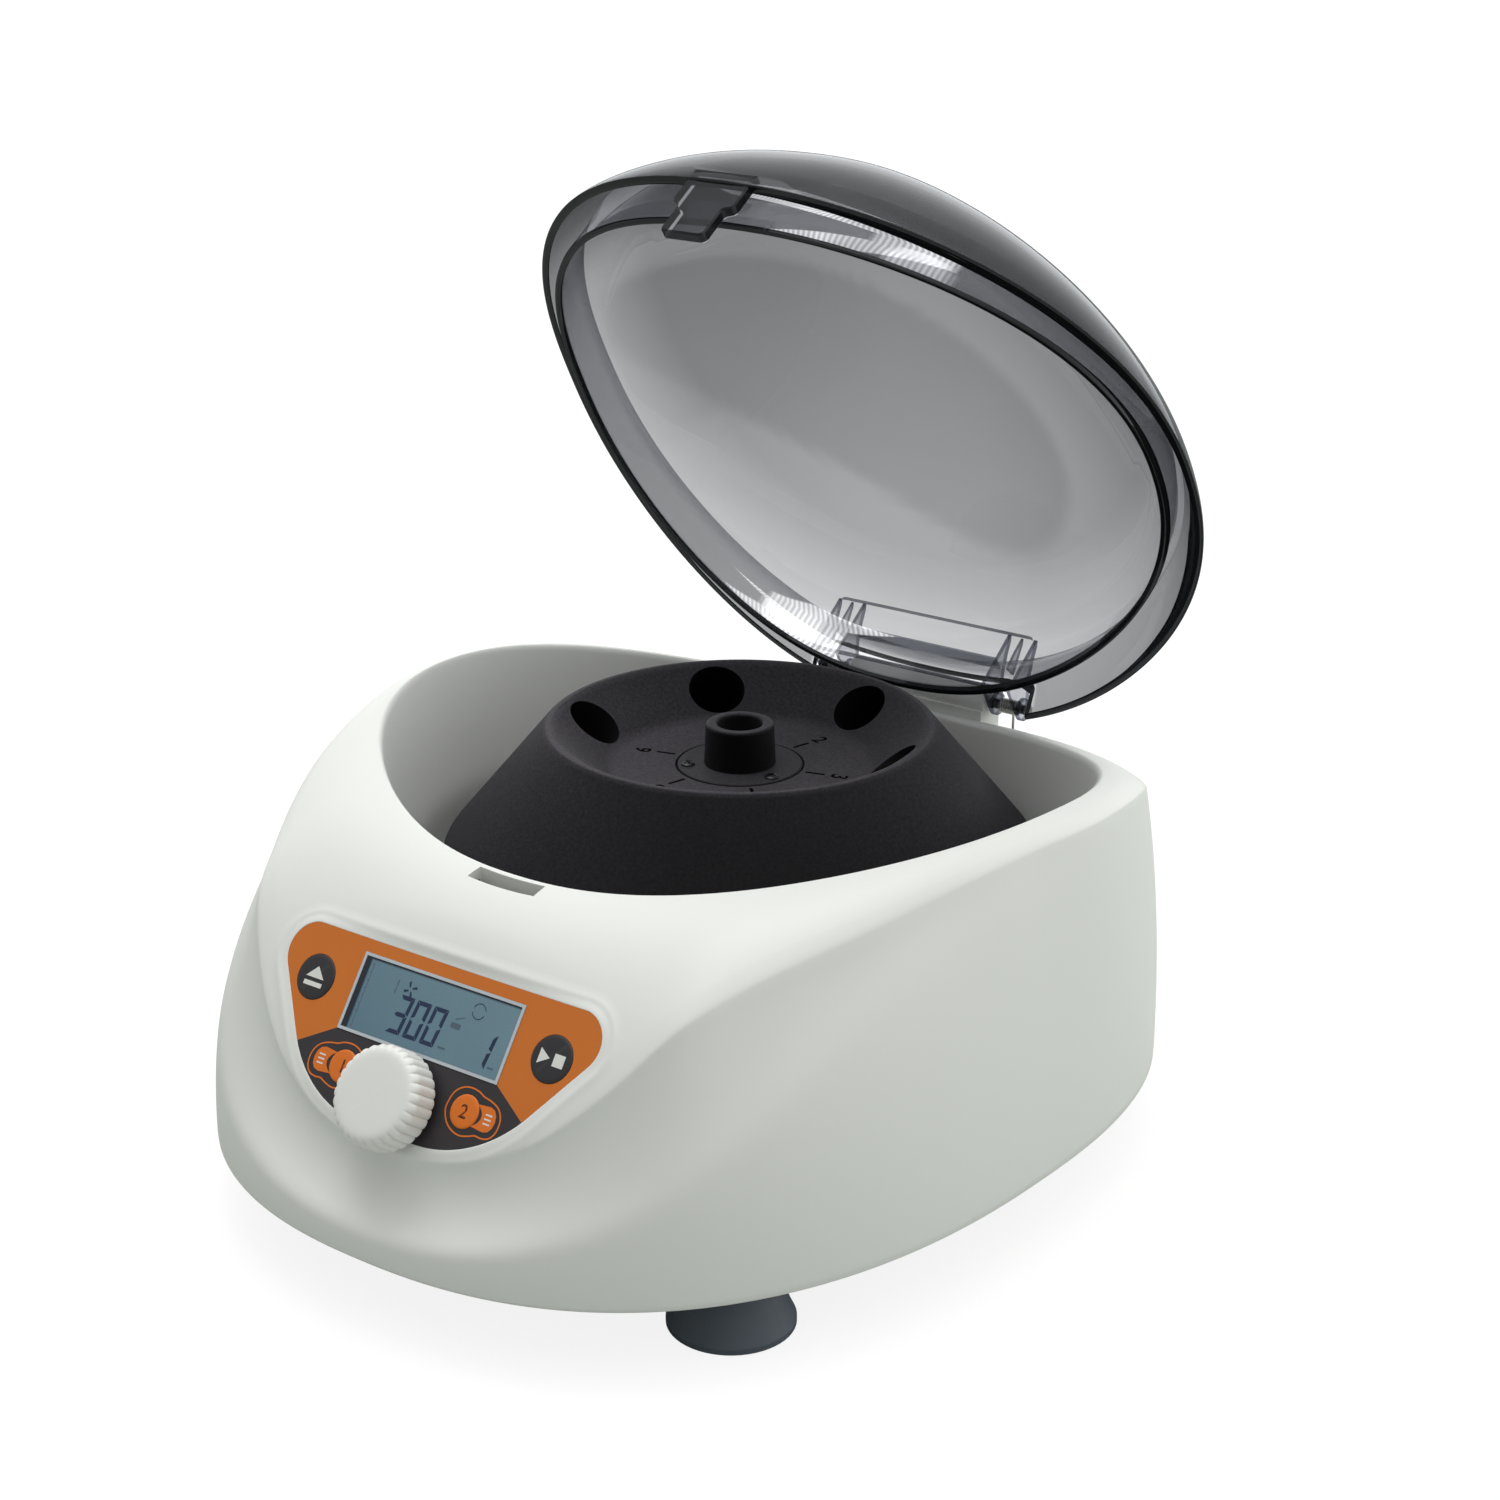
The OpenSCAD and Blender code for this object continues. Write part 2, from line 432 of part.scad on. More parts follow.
module torsion_springs() {
  color("darkgray") for (s = [-1, 1]) translate([s * 33.3, hinge_y, hinge_z]) rotate([0, 90, 0]) {
    for (i = [-3:3]) translate([0, 0, i * 0.86]) rotate_extrude($fn = 40) translate([2.1, 0]) circle(r = 0.42, $fn = 16);
    translate([0.2, 1.8, -0.3]) cube([10.2, 0.6, 0.6]);
  }
}

// ---- latch ---------------------------------------------------------------
bolt_z = hub_z - 28;
// Drawn back, so that the lid can close; it springs 3 mm into the tab's hole.
module latch_bolt() {
  color("silver") translate([0, -108.8, bolt_z]) rotate([90, 0, 0]) {
    cylinder(h = 6.2, r = 1.5, $fn = 40);
    translate([0, 0, 6.1]) cylinder(h = 1.4, r = 2.4, $fn = 40);
  }
}
module solenoid_body() {
  color("darkslategray") difference() {
    union() {
      translate([0, -110.8, bolt_z]) rotate([90, 0, 0]) cylinder(h = 7.1, r = 3.5, $fn = 48);
      translate([-6, -117.9, bolt_z - 8]) cube([12, 7.1, 5.4]);
    }
    translate([0, -110, bolt_z]) rotate([90, 0, 0]) cylinder(h = 4, r = 1.56, $fn = 40);
    translate([0, -111.8, bolt_z]) rotate([90, 0, 0]) cylinder(h = 5.6, r = 2.5, $fn = 40);
  }
}
module bolt_spring() {
  color("gray") translate([0, -116.52, bolt_z]) rotate([90, 0, 0]) for (i = [0:2]) translate([0, 0, i * 0.35]) rotate_extrude($fn = 32) translate([2, 0]) circle(r = 0.17, $fn = 16);
}
module lid_sensor() {
  color("darkgreen") union() {
    translate([12, -113, hub_z - 34]) cube([1.4, 7.4, 12]);
    translate([11.1, -109, hub_z - 28]) cube([1.0, 3, 4]);
  }
}

// ---- rotor ---------------------------------------------------------------
module pocket_axes() {
  for (i = [0:pockets - 1]) rotate([0, 0, 75 + 360 * i / pockets]) translate([48.45, 0, hub_z - 7.85]) rotate([0, 180 - pocket_tilt, 0]) children();
}
module rotor_body() {
  color([0.16, 0.15, 0.16]) difference() {
    rotate_extrude($fn = 120) polygon([[10.4, hub_z - 20], [10.4, hub_z - 14.4], [19.2, hub_z - 14.4], [19.2, hub_z - 13], [38.4, hub_z - 13], [54.6, hub_z - 0.8], [56.6, hub_z], [57.6, hub_z], [rotor_rim_r, hub_z - 0.8],
      [rotor_max_r, hub_z - 38], [rotor_max_r, hub_z - 46], [86.5, hub_z - 52], [78, hub_z - 59.2], [74, hub_z - 60], [64, hub_z - 60], [60, hub_z - 56], [34, hub_z - 20]]);
    pocket_axes() {
      translate([0, 0, -22]) cylinder(h = 72, r = pocket_d / 2, $fn = 64);
    }
    // seats for the hub screws
    for (i = [0:2]) rotate([0, 0, 103 + 120 * i]) translate([15.6, 0, hub_z - 24]) cylinder(h = 14, r = 1.3, $fn = 24);
  }
}
module rotor_hub() {
  color([0.1, 0.1, 0.11]) difference() {
    rotate_extrude($fn = 72) polygon([[4.05, hub_z - 34], [10.35, hub_z - 34], [10.35, hub_z - 14.4], [18, hub_z - 14.4], [18, hub_z - 13], [17.8, hub_z - 12.6], [10.6, hub_z - 12.6], [10.15, hub_z - 0.6], [9.6, hub_z],
      [7.3, hub_z], [6.7, hub_z - 0.6], [6.7, hub_z - 10], [4.05, hub_z - 10]]);
    for (i = [0:2]) rotate([0, 0, 103 + 120 * i]) translate([15.6, 0, hub_z - 16]) cylinder(h = 5, r = 1.3, $fn = 24);
  }
}
module hub_screws() {
  color("dimgray") for (i = [0:2]) rotate([0, 0, 103 + 120 * i]) translate([15.6, 0, 0]) {
    translate([0, 0, hub_z - 21]) cylinder(h = 8.4, r = 1.28, $fn = 24);
    translate([0, 0, hub_z - 12.6]) cylinder(h = 0.8, r = 2.1, $fn = 32);
  }
}
module rotor_nut() {
  color("silver") difference() {
    translate([0, 0, hub_z - 9.9]) cylinder(h = 4, r = 6.2, $fn = 6);
    translate([0, 0, hub_z - 11]) cylinder(h = 8, r = 2.52, $fn = 32);
  }
}
module motor_shaft() {
  color("silver") union() {
    translate([0, 0, 5.4]) cylinder(h = 24.6, r = 2.99, $fn = 40);
    translate([0, 0, 30]) cylinder(h = hub_z - 10 - 30, r = 4, $fn = 40);
    translate([0, 0, hub_z - 10]) cylinder(h = 5, r = 2.5, $fn = 32);
  }
}
module motor_magnet() {
  color("dimgray") translate([0, 0, 12]) difference() {
    cylinder(h = 11, r = 12, $fn = 64);
    translate([0, 0, -1]) cylinder(h = 13, r = 3, $fn = 40);
  }
}
module bearing(z) {
  difference() {
    translate([0, 0, z]) cylinder(h = 4, r = 8, $fn = 64);
    translate([0, 0, z - 1]) cylinder(h = 6, r = 3.05, $fn = 48);
  }
}
module bearing_lower() { color("lightgray") bearing(7.2); }
module bearing_upper() { color("lightgray") bearing(25); }
module motor_can() {
  color("silver") rotate_extrude($fn = 96) polygon([[5, 5.8], [30, 5.8], [30, 24.4], [28, 24.4], [28, 8.4], [11, 8.4], [11, 11.2], [8, 11.2], [8, 7.2], [5, 7.2]]);
}
module motor_cover() {
  color("silver") rotate_extrude($fn = 96) polygon([[5, 29.8], [30, 29.8], [30, 24.4], [10.4, 24.4], [10.4, 25], [8, 25], [8, 29], [5, 29]]);
}
module motor_windings() {
  color("peru") union() {
    difference() {
      translate([0, 0, 12]) cylinder(h = 11, r = 27.9, $fn = 72);
      translate([0, 0, 11]) cylinder(h = 13, r = 24.6, $fn = 72);
    }
    for (i = [0:8]) rotate([0, 0, 40 * i]) {
      translate([12.6, -2, 12.7]) cube([13.4, 4, 9.6]);
      translate([15.3, -3.7, 10.8]) cube([7.6, 7.4, 13]);
    }
  }
}
module motor_plate() {
  color("lightgray") difference() {
    union() {
      translate([0, 0, 4.4]) cylinder(h = 1.4, r = 31, $fn = 72);
      for (p = damper_pos()) translate([p[0], p[1], 4.4]) cylinder(h = 1.4, r = 7.4, $fn = 40);
    }
    translate([0, 0, 3]) cylinder(h = 4, r = 6, $fn = 40);
    for (p = damper_pos()) translate([p[0], p[1], 3]) cylinder(h = 4, r = 3.4, $fn = 40);
  }
}
module dampers() {
  color("black") for (p = damper_pos()) translate([p[0], p[1], 0]) rotate_extrude($fn = 40)
    polygon([[1.65, 4], [6, 4], [6, 4.36], [3.35, 4.4], [3.35, 5.8], [6, 5.84], [6, 8.4], [1.65, 8.4]]);
}
module damper_screws() {
  color("silver") for (p = damper_pos()) translate([p[0], p[1], 0]) {
    translate([0, 0, 1]) cylinder(h = 7.4, r = 1.58, $fn = 32);
    translate([0, 0, 8.4]) cylinder(h = 1.8, r = 3.2, $fn = 32);
  }
}
module spindle_boot() {
  color([0.12, 0.12, 0.12]) rotate_extrude($fn = 64)
    polygon([[4.6, floor_z + 1.6], [6, floor_z + 2.2], [10, floor_z + 1.4], [17.4, floor_z + 1.4], [17.4, floor_z], [14.9, floor_z], [14.9, floor_z - wall], [17.4, floor_z - wall], [17.4, floor_z - wall - 1.2], [13.4, floor_z - wall - 1.2], [9, floor_z - 1], [4.6, floor_z + 0.4]]);
}
module speed_sensor() {
  color("darkgreen") union() {
    translate([-18, -50, tray_t + 1.4]) cube([14, 10, 1.4]);
    translate([-14, -46, tray_t]) cube([3, 3, 1.4]);
    translate([-14, -44, tray_t + 2.8]) cube([6, 5, 4]);
  }
}
module power_board() {
  color("darkgreen") difference() {
    translate([56, -66, 7]) cube([42, 102, 1.6]);
    for (p = post_pos()) translate([p[0], p[1], 6]) cylinder(h = 4, r = 1.2, $fn = 24);
  }
}
module board_parts() {
  color("darkgray") {
    translate([62, -50, 8.6]) cube([26, 24, 18]);
    translate([66, 16, 8.6]) cylinder(h = 22, r = 8, $fn = 48);
    translate([86, 18, 8.6]) cylinder(h = 16, r = 5, $fn = 40);
    translate([62, -14, 8.6]) cube([3, 20, 18]);
    translate([88, -16, 8.6]) cube([7, 20, 10]);
    translate([72, -16, 8.6]) cube([9, 14, 6]);
  }
}
module wire(pts, r) {
  for (i = [0:len(pts) - 2]) hull() {
    translate(pts[i]) sphere(r = r, $fn = 10);
    translate(pts[i + 1]) sphere(r = r, $fn = 10);
  }
}
module wiring_harness() {
  color("red") {
    wire([[-22.4, 76.4, 17.4], [-22, 70, 12], [20, 62, 6.2], [58, 40, 6], [62, 37, 9.8]], 1.3);
    wire([[21, 82.4, 18], [24, 74, 14], [50, 50, 9.4], [60, 37.4, 9.8]], 1.3);
    wire([[-20, -124, 40], [-16, -112, 12], [20, -82, 6.4], [54, -72, 7], [62, -68, 10.6]], 1.5);
    wire([[32.2, 0, 12], [46, -2, 10.8], [56, -4, 10.8]], 1.8);
  }
}

upper_housing();
base_tray();
suction_feet();
foot_screws();
tray_screws();
rear_panel();
power_inlet();
inlet_pins();
switch_body();
power_rocker();
control_carrier();
panel_label();
lcd_frame();
lcd_glass();
control_board();
key_switches();
board_screws();
open_key();
start_key();
program_key_1();
program_key_2();
encoder_body();
encoder_plunger();
encoder_shaft();
knob();
hinge_block();
hinge_screws();
hinge_pin();
torsion_springs();
lid();
latch_tab();
hinge_bracket();
latch_bolt();
solenoid_body();
bolt_spring();
lid_sensor();
rotor_body();
rotor_hub();
hub_screws();
rotor_nut();
motor_shaft();
motor_magnet();
bearing_lower();
bearing_upper();
motor_can();
motor_cover();
motor_windings();
motor_plate();
dampers();
damper_screws();
spindle_boot();
speed_sensor();
power_board();
board_parts();
wiring_harness();
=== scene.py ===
"""Visual model of the bench-top centrifuge, built round its CAD frame. Lengths in the code are mm unless noted."""
import math
import bpy
import numpy as np
from mathutils import Matrix, Vector
from mathutils.bvhtree import BVHTree


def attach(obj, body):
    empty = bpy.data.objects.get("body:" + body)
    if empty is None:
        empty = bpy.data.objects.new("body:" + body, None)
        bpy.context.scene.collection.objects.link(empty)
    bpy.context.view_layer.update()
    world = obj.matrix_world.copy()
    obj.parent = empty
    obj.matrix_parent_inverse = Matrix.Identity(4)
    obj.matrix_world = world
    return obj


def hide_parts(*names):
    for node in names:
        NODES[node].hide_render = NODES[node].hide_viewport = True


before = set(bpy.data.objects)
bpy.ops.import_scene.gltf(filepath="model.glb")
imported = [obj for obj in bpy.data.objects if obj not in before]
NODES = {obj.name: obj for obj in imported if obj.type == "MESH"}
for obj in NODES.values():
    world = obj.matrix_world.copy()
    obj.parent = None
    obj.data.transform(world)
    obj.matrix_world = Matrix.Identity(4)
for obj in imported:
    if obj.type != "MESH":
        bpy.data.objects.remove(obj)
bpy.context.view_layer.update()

MM = 0.001
scene = bpy.context.scene

# ---------------------------------------------------------------- materials
def mk(name):
    m = bpy.data.materials.new(name)
    m.use_nodes = True
    nt = m.node_tree
    return m, nt, nt.nodes["Principled BSDF"]


def tex_coord(nt):
    return nt.nodes.new("ShaderNodeTexCoord").outputs["Object"]


def tc_normal(nt):
    return nt.nodes.new("ShaderNodeTexCoord").outputs["Normal"]


def noise(nt, vec, scale, detail=3.0, rough=0.55, stretch=None):
    n = nt.nodes.new("ShaderNodeTexNoise")
    n.inputs["Scale"].default_value = scale
    n.inputs["Detail"].default_value = detail
    n.inputs["Roughness"].default_value = rough
    if stretch:
        mp = nt.nodes.new("ShaderNodeMapping")
        mp.inputs["Scale"].default_value = stretch
        nt.links.new(vec, mp.inputs["Vector"])
        vec = mp.outputs["Vector"]
    nt.links.new(vec, n.inputs["Vector"])
    return n.outputs["Fac"]


def maprange(nt, val, a, b, lo, hi):
    n = nt.nodes.new("ShaderNodeMapRange")
    n.inputs["From Min"].default_value = a
    n.inputs["From Max"].default_value = b
    n.inputs["To Min"].default_value = lo
    n.inputs["To Max"].default_value = hi
    nt.links.new(val, n.inputs["Value"])
    return n.outputs["Result"]


def math_node(nt, op, a, b=None, clamp=False):
    n = nt.nodes.new("ShaderNodeMath")
    n.operation = op
    n.use_clamp = clamp
    for i, v in enumerate((a, b)):
        if v is None:
            continue
        if isinstance(v, (int, float)):
            n.inputs[i].default_value = v
        else:
            nt.links.new(v, n.inputs[i])
    return n.outputs[0]


def mix_col(nt, fac, a, b):
    n = nt.nodes.new("ShaderNodeMix")
    n.data_type = "RGBA"
    if isinstance(fac, (int, float)):
        n.inputs["Factor"].default_value = fac
    else:
        nt.links.new(fac, n.inputs["Factor"])
    for key, v in (("A", a), ("B", b)):
        s = [i for i in n.inputs if i.name == key and i.type == "RGBA"][0]
        if isinstance(v, (tuple, list)):
            s.default_value = (*v[:3], 1)
        else:
            nt.links.new(v, s)
    return [o for o in n.outputs if o.type == "RGBA"][0]


def shade(c, k):
    return tuple(min(1, max(0, x * k)) for x in c)


def edge_wear(nt, amount=0.4):
    g = nt.nodes.new("ShaderNodeNewGeometry")
    return maprange(nt, g.outputs["Pointiness"], 0.5, 0.62, 0, amount)


def surface(name, color, rough=0.45, grain=2600, bump=0.00002, var=0.06, blotch=14, rvar=0.1, metallic=0.0,
            spec=0.5, coat=0.0, stretch=None, wear=0.0, wear_col=None, sheen=0.0, color_socket=None):
    """Moulded or machined surface: fine grain in bump and roughness, slow drift in colour, lighter worn edges."""
    m, nt, b = mk(name)
    tc = tex_coord(nt)
    fine = noise(nt, tc, grain, 4, 0.6, stretch)
    slow = noise(nt, tc, blotch, 2, 0.5)
    base = color_socket(nt, tc) if color_socket else mix_col(nt, slow, shade(color, 1 - var), shade(color, 1 + var))
    base = mix_col(nt, maprange(nt, fine, 0.3, 0.7, 0, 0.35 * var * 4), base, shade(color, 0.8) if not color_socket else (0, 0, 0)) if var and not color_socket else base
    if wear:
        base = mix_col(nt, edge_wear(nt, wear), base, wear_col or shade(color, 1.8))
    nt.links.new(base, b.inputs["Base Color"])
    r = math_node(nt, "ADD", maprange(nt, fine, 0.25, 0.75, rough - rvar * 0.5, rough + rvar * 0.5), maprange(nt, slow, 0, 1, -rvar * 0.3, rvar * 0.3), True)
    nt.links.new(r, b.inputs["Roughness"])
    bp = nt.nodes.new("ShaderNodeBump")
    bp.inputs["Strength"].default_value = 1.0
    bp.inputs["Distance"].default_value = bump
    nt.links.new(fine, bp.inputs["Height"])
    nt.links.new(bp.outputs["Normal"], b.inputs["Normal"])
    b.inputs["Metallic"].default_value = metallic
    b.inputs["Specular IOR Level"].default_value = spec
    b.inputs["Coat Weight"].default_value = coat
    b.inputs["Sheen Weight"].default_value = sheen
    return m


def smoke(name, tint, strength=1.0, gloss=0.04, rough=0.03, refl=0.5, painted_tones=False, axis=None, sides=0.0, painted_reflection=0.0, glow=0.0):
    """Smoke-grey clear plastic as a thin skin: absorption grows with slant, reflection follows Fresnel."""
    m = bpy.data.materials.new(name)
    m.use_nodes = True
    nt = m.node_tree
    nt.nodes.clear()
    out = nt.nodes.new("ShaderNodeOutputMaterial")
    tc = tex_coord(nt)
    slow = noise(nt, tc, 9, 2, 0.5)
    lw = nt.nodes.new("ShaderNodeLayerWeight")
    lw.inputs["Blend"].default_value = 0.5
    facing = lw.outputs["Facing"]                       # 0 facing, 1 edge-on
    slant = math_node(nt, "MINIMUM", math_node(nt, "POWER", facing, 3.0), 0.40)
    depth = math_node(nt, "MULTIPLY", math_node(nt, "ADD", 1.0, math_node(nt, "MULTIPLY", slant, 2.4)), strength)
    depth = math_node(nt, "MULTIPLY", depth, maprange(nt, slow, 0.3, 0.7, 0.96, 1.04))
    # painted tone: a per-vertex factor on the absorption, darker or lighter across the lid to stand in for shade and
    # reflections
    if painted_tones:
        at = nt.nodes.new("ShaderNodeAttribute")
        at.attribute_name = "painted_tone"
        depth = math_node(nt, "MULTIPLY", depth, at.outputs["Fac"])
    if axis is not None:
        dot = nt.nodes.new("ShaderNodeVectorMath")
        dot.operation = "DOT_PRODUCT"
        nt.links.new(tc_normal(nt), dot.inputs[0])
        dot.inputs[1].default_value = axis
        off = math_node(nt, "SUBTRACT", 1.0, math_node(nt, "ABSOLUTE", dot.outputs["Value"]), True)
        depth = math_node(nt, "MULTIPLY", depth, math_node(nt, "ADD", 1.0, math_node(nt, "MULTIPLY", off, sides)))
    chans = [math_node(nt, "POWER", c, depth) for c in tint]
    comb = nt.nodes.new("ShaderNodeCombineColor")
    for i, c in enumerate(chans):
        nt.links.new(c, comb.inputs[i])
    tr = nt.nodes.new("ShaderNodeBsdfTransparent")
    nt.links.new(comb.outputs[0], tr.inputs["Color"])
    gl = nt.nodes.new("ShaderNodeBsdfGlossy")
    gl.inputs["Color"].default_value = (0.95, 0.96, 1.0, 1)
    nt.links.new(maprange(nt, slow, 0.2, 0.8, rough * 0.7, rough * 1.4), gl.inputs["Roughness"])
    fres = math_node(nt, "ADD", 0.035, math_node(nt, "MULTIPLY", math_node(nt, "POWER", facing, 5.0), refl))
    bp = nt.nodes.new("ShaderNodeBump")
    bp.inputs["Strength"].default_value = 0.2
    bp.inputs["Distance"].default_value = 0.00001
    nt.links.new(noise(nt, tc, 9, 0, 0.4), bp.inputs["Height"])
    nt.links.new(bp.outputs["Normal"], gl.inputs["Normal"])
    df = nt.nodes.new("ShaderNodeBsdfDiffuse")
    df.inputs["Color"].default_value = (0.10, 0.105, 0.115, 1)
    mx0 = nt.nodes.new("ShaderNodeMixShader")
    mx0.inputs[0].default_value = gloss
    nt.links.new(tr.outputs[0], mx0.inputs[1])
    nt.links.new(df.outputs[0], mx0.inputs[2])
    mx = nt.nodes.new("ShaderNodeMixShader")
    nt.links.new(fres, mx.inputs[0])
    nt.links.new(mx0.outputs[0], mx.inputs[1])
    nt.links.new(gl.outputs[0], mx.inputs[2])
    if painted_reflection:
        # painted reflection: striped emission where the mirror direction points at an overhead softbox, standing in for
        # its reflection in the polished plastic
        rv = nt.nodes.new("ShaderNodeTexCoord").outputs["Reflection"]
        sp = nt.nodes.new("ShaderNodeSeparateXYZ")
        nt.links.new(rv, sp.inputs[0])
        rz = math_node(nt, "MAXIMUM", sp.outputs[2], 0.05)
        ru = math_node(nt, "DIVIDE", sp.outputs[0], rz)
        rw = math_node(nt, "DIVIDE", sp.outputs[1], rz)
        left = math_node(nt, "SUBTRACT", ru, math_node(nt, "MULTIPLY", rw, 2.2))
        right = math_node(nt, "SUBTRACT", ru, rw)
        inside = math_node(nt, "MULTIPLY", maprange(nt, left, -0.09, -0.05, 0, 1), maprange(nt, right, 0.29, 0.33, 1, 0))
        inside = math_node(nt, "MULTIPLY", inside, math_node(nt, "MULTIPLY", maprange(nt, rw, -1.0, -0.9, 0, 1), maprange(nt, rw, 0.14, 0.17, 1, 0)))
        line = maprange(nt, math_node(nt, "SINE", math_node(nt, "ADD", math_node(nt, "MULTIPLY", ru, 210.0), math_node(nt, "MULTIPLY", rw, 60.0))), -1, 1, 0.45, 1.0)
        patchy = maprange(nt, noise(nt, tc, 55, 2, 0.5), 0.35, 0.65, 0.55, 1.0)
        em = nt.nodes.new("ShaderNodeEmission")
        em.inputs["Color"].default_value = (0.97, 0.98, 1.0, 1)
        nt.links.new(math_node(nt, "MULTIPLY", math_node(nt, "MULTIPLY", inside, line), math_node(nt, "MULTIPLY", patchy, painted_reflection)), em.inputs["Strength"])
        ad = nt.nodes.new("ShaderNodeAddShader")
        nt.links.new(mx.outputs[0], ad.inputs[0])
        nt.links.new(em.outputs[0], ad.inputs[1])
        nt.links.new(ad.outputs[0], out.inputs["Surface"])
    elif glow:
        # painted glint: a steady emission on the bevelled edges, standing in for the studio light they would catch
        em = nt.nodes.new("ShaderNodeEmission")
        em.inputs["Color"].default_value = (0.95, 0.97, 1.0, 1)
        nt.links.new(math_node(nt, "MULTIPLY", maprange(nt, slow, 0.3, 0.7, 0.7, 1.1), glow), em.inputs["Strength"])
        ad = nt.nodes.new("ShaderNodeAddShader")
        nt.links.new(mx.outputs[0], ad.inputs[0])
        nt.links.new(em.outputs[0], ad.inputs[1])
        nt.links.new(ad.outputs[0], out.inputs["Surface"])
    else:
        nt.links.new(mx.outputs[0], out.inputs["Surface"])
    return m


PAN_Y, PAN_Z, TILT = -138.7, 61.1, math.radians(54.1)


def label_colour(nt, tc):
    """Orange upper field and dark lower field, split along a straight line with two sloping shoulders."""
    sep = nt.nodes.new("ShaderNodeSeparateXYZ")
    nt.links.new(tc, sep.inputs[0])
    x, y, z = sep.outputs
    v = math_node(nt, "ADD",
                  math_node(nt, "MULTIPLY", math_node(nt, "SUBTRACT", y, PAN_Y * MM), math.cos(TILT)),
                  math_node(nt, "MULTIPLY", math_node(nt, "SUBTRACT", z, PAN_Z * MM), math.sin(TILT)))
    ax = math_node(nt, "ABSOLUTE", x)
    over = math_node(nt, "MAXIMUM", math_node(nt, "SUBTRACT", ax, 0.0283), 0.0)
    line = math_node(nt, "SUBTRACT", -0.0109, math_node(nt, "MULTIPLY", over, 0.598))
    dark = math_node(nt, "LESS_THAN", v, line)
    fine = noise(nt, tc, 3000, 3, 0.6)
    slow = noise(nt, tc, 30, 2, 0.5)
    orange = mix_col(nt, slow, (0.60, 0.155, 0.016), (0.66, 0.180, 0.020))
    orange = mix_col(nt, maprange(nt, fine, 0.3, 0.7, 0, 0.10), orange, (0.45, 0.10, 0.012))
    ink = mix_col(nt, slow, (0.030, 0.026, 0.030), (0.038, 0.033, 0.038))
    return mix_col(nt, dark, orange, ink)


WHITE = (0.80, 0.805, 0.785)
M = {}
M["casing"] = surface("casing_white", WHITE, 0.46, 3200, 0.000012, 0.014, 9, 0.10, spec=0.42)
M["casing_in"] = surface("casing_inside", shade(WHITE, 0.97), 0.5, 2600, 0.000015, 0.02, 12, 0.1, spec=0.4)
M["tray"] = surface("tray_white", (0.70, 0.705, 0.69), 0.55, 2200, 0.00003, 0.03, 20, 0.12, spec=0.4)
M["knob"] = surface("knob_white", (0.82, 0.82, 0.79), 0.42, 2600, 0.00003, 0.02, 30, 0.1, spec=0.45, wear=0.15, wear_col=(0.95, 0.95, 0.93))


def anodic_painted_sheen_and_top_light(color):
    """Blasted aluminium with a black anodic coat: black face-on; greyer at a slant through a painted sheen, and greyer
    on upward faces through painted top light.
    """
    def build(nt, tc):
        lw = nt.nodes.new("ShaderNodeLayerWeight")
        lw.inputs["Blend"].default_value = 0.5
        sp = nt.nodes.new("ShaderNodeSeparateXYZ")
        nt.links.new(tc_normal(nt), sp.inputs[0])
        # painted top light: faces turned upward get a lighter colour
        up = maprange(nt, sp.outputs[2], 0.55, 1.0, 0.0, 1.0)
        # painted sheen: faces seen at a slant get a lighter colour
        k = math_node(nt, "ADD", 0.12, math_node(nt, "ADD", math_node(nt, "MULTIPLY", lw.outputs["Facing"], 1.75), math_node(nt, "MULTIPLY", up, 2.1)))
        grit = maprange(nt, noise(nt, tc, 1100, 3, 0.65), 0.3, 0.7, 0.72, 1.30)
        k = math_node(nt, "MULTIPLY", k, math_node(nt, "MULTIPLY", grit, maprange(nt, noise(nt, tc, 18, 2, 0.5), 0.3, 0.7, 0.90, 1.10)))
        sc = nt.nodes.new("ShaderNodeVectorMath")
        sc.operation = "SCALE"
        sc.inputs[0].default_value = color
        nt.links.new(k, sc.inputs["Scale"])
        return sc.outputs["Vector"]
    return build


M["rotor"] = surface("rotor_black", (0.0185, 0.0172, 0.0196), 0.62, 2000, 0.00009, 0.12, 18, 0.14, spec=0.06, wear=0.45, wear_col=(0.062, 0.058, 0.064), color_socket=anodic_painted_sheen_and_top_light((0.0185, 0.0172, 0.0198)))
M["hub"] = surface("hub_black", (0.012, 0.0115, 0.0125), 0.50, 2600, 0.00002, 0.15, 30, 0.12, spec=0.10, wear=0.3, wear_col=(0.04, 0.038, 0.042), color_socket=anodic_painted_sheen_and_top_light((0.0135, 0.0127, 0.0145)))
M["pocket"] = surface("pocket_black", (0.004, 0.004, 0.004), 0.55, 2000, 0.00004, 0.15, 30, 0.1, spec=0.25)
M["blacksteel"] = surface("black_steel", (0.02, 0.02, 0.022), 0.32, 3000, 0.00001, 0.15, 60, 0.12, metallic=0.8, wear=0.5, wear_col=(0.12, 0.12, 0.13))
M["steel"] = surface("steel", (0.62, 0.61, 0.60), 0.28, 1800, 0.00001, 0.08, 40, 0.14, metallic=1.0, stretch=(1, 1, 6), wear=0.3, wear_col=(0.85, 0.85, 0.84))
M["springsteel"] = surface("spring_steel", (0.42, 0.41, 0.40), 0.30, 2400, 0.00001, 0.12, 80, 0.14, metallic=1.0, wear=0.4, wear_col=(0.75, 0.75, 0.74))
M["motor"] = surface("motor_metal", (0.50, 0.50, 0.49), 0.38, 1500, 0.00002, 0.08, 30, 0.16, metallic=1.0, stretch=(1, 1, 9))
M["magnet"] = surface("magnet_grey", (0.10, 0.10, 0.105), 0.5, 1600, 0.00004, 0.15, 40, 0.15, metallic=0.6)
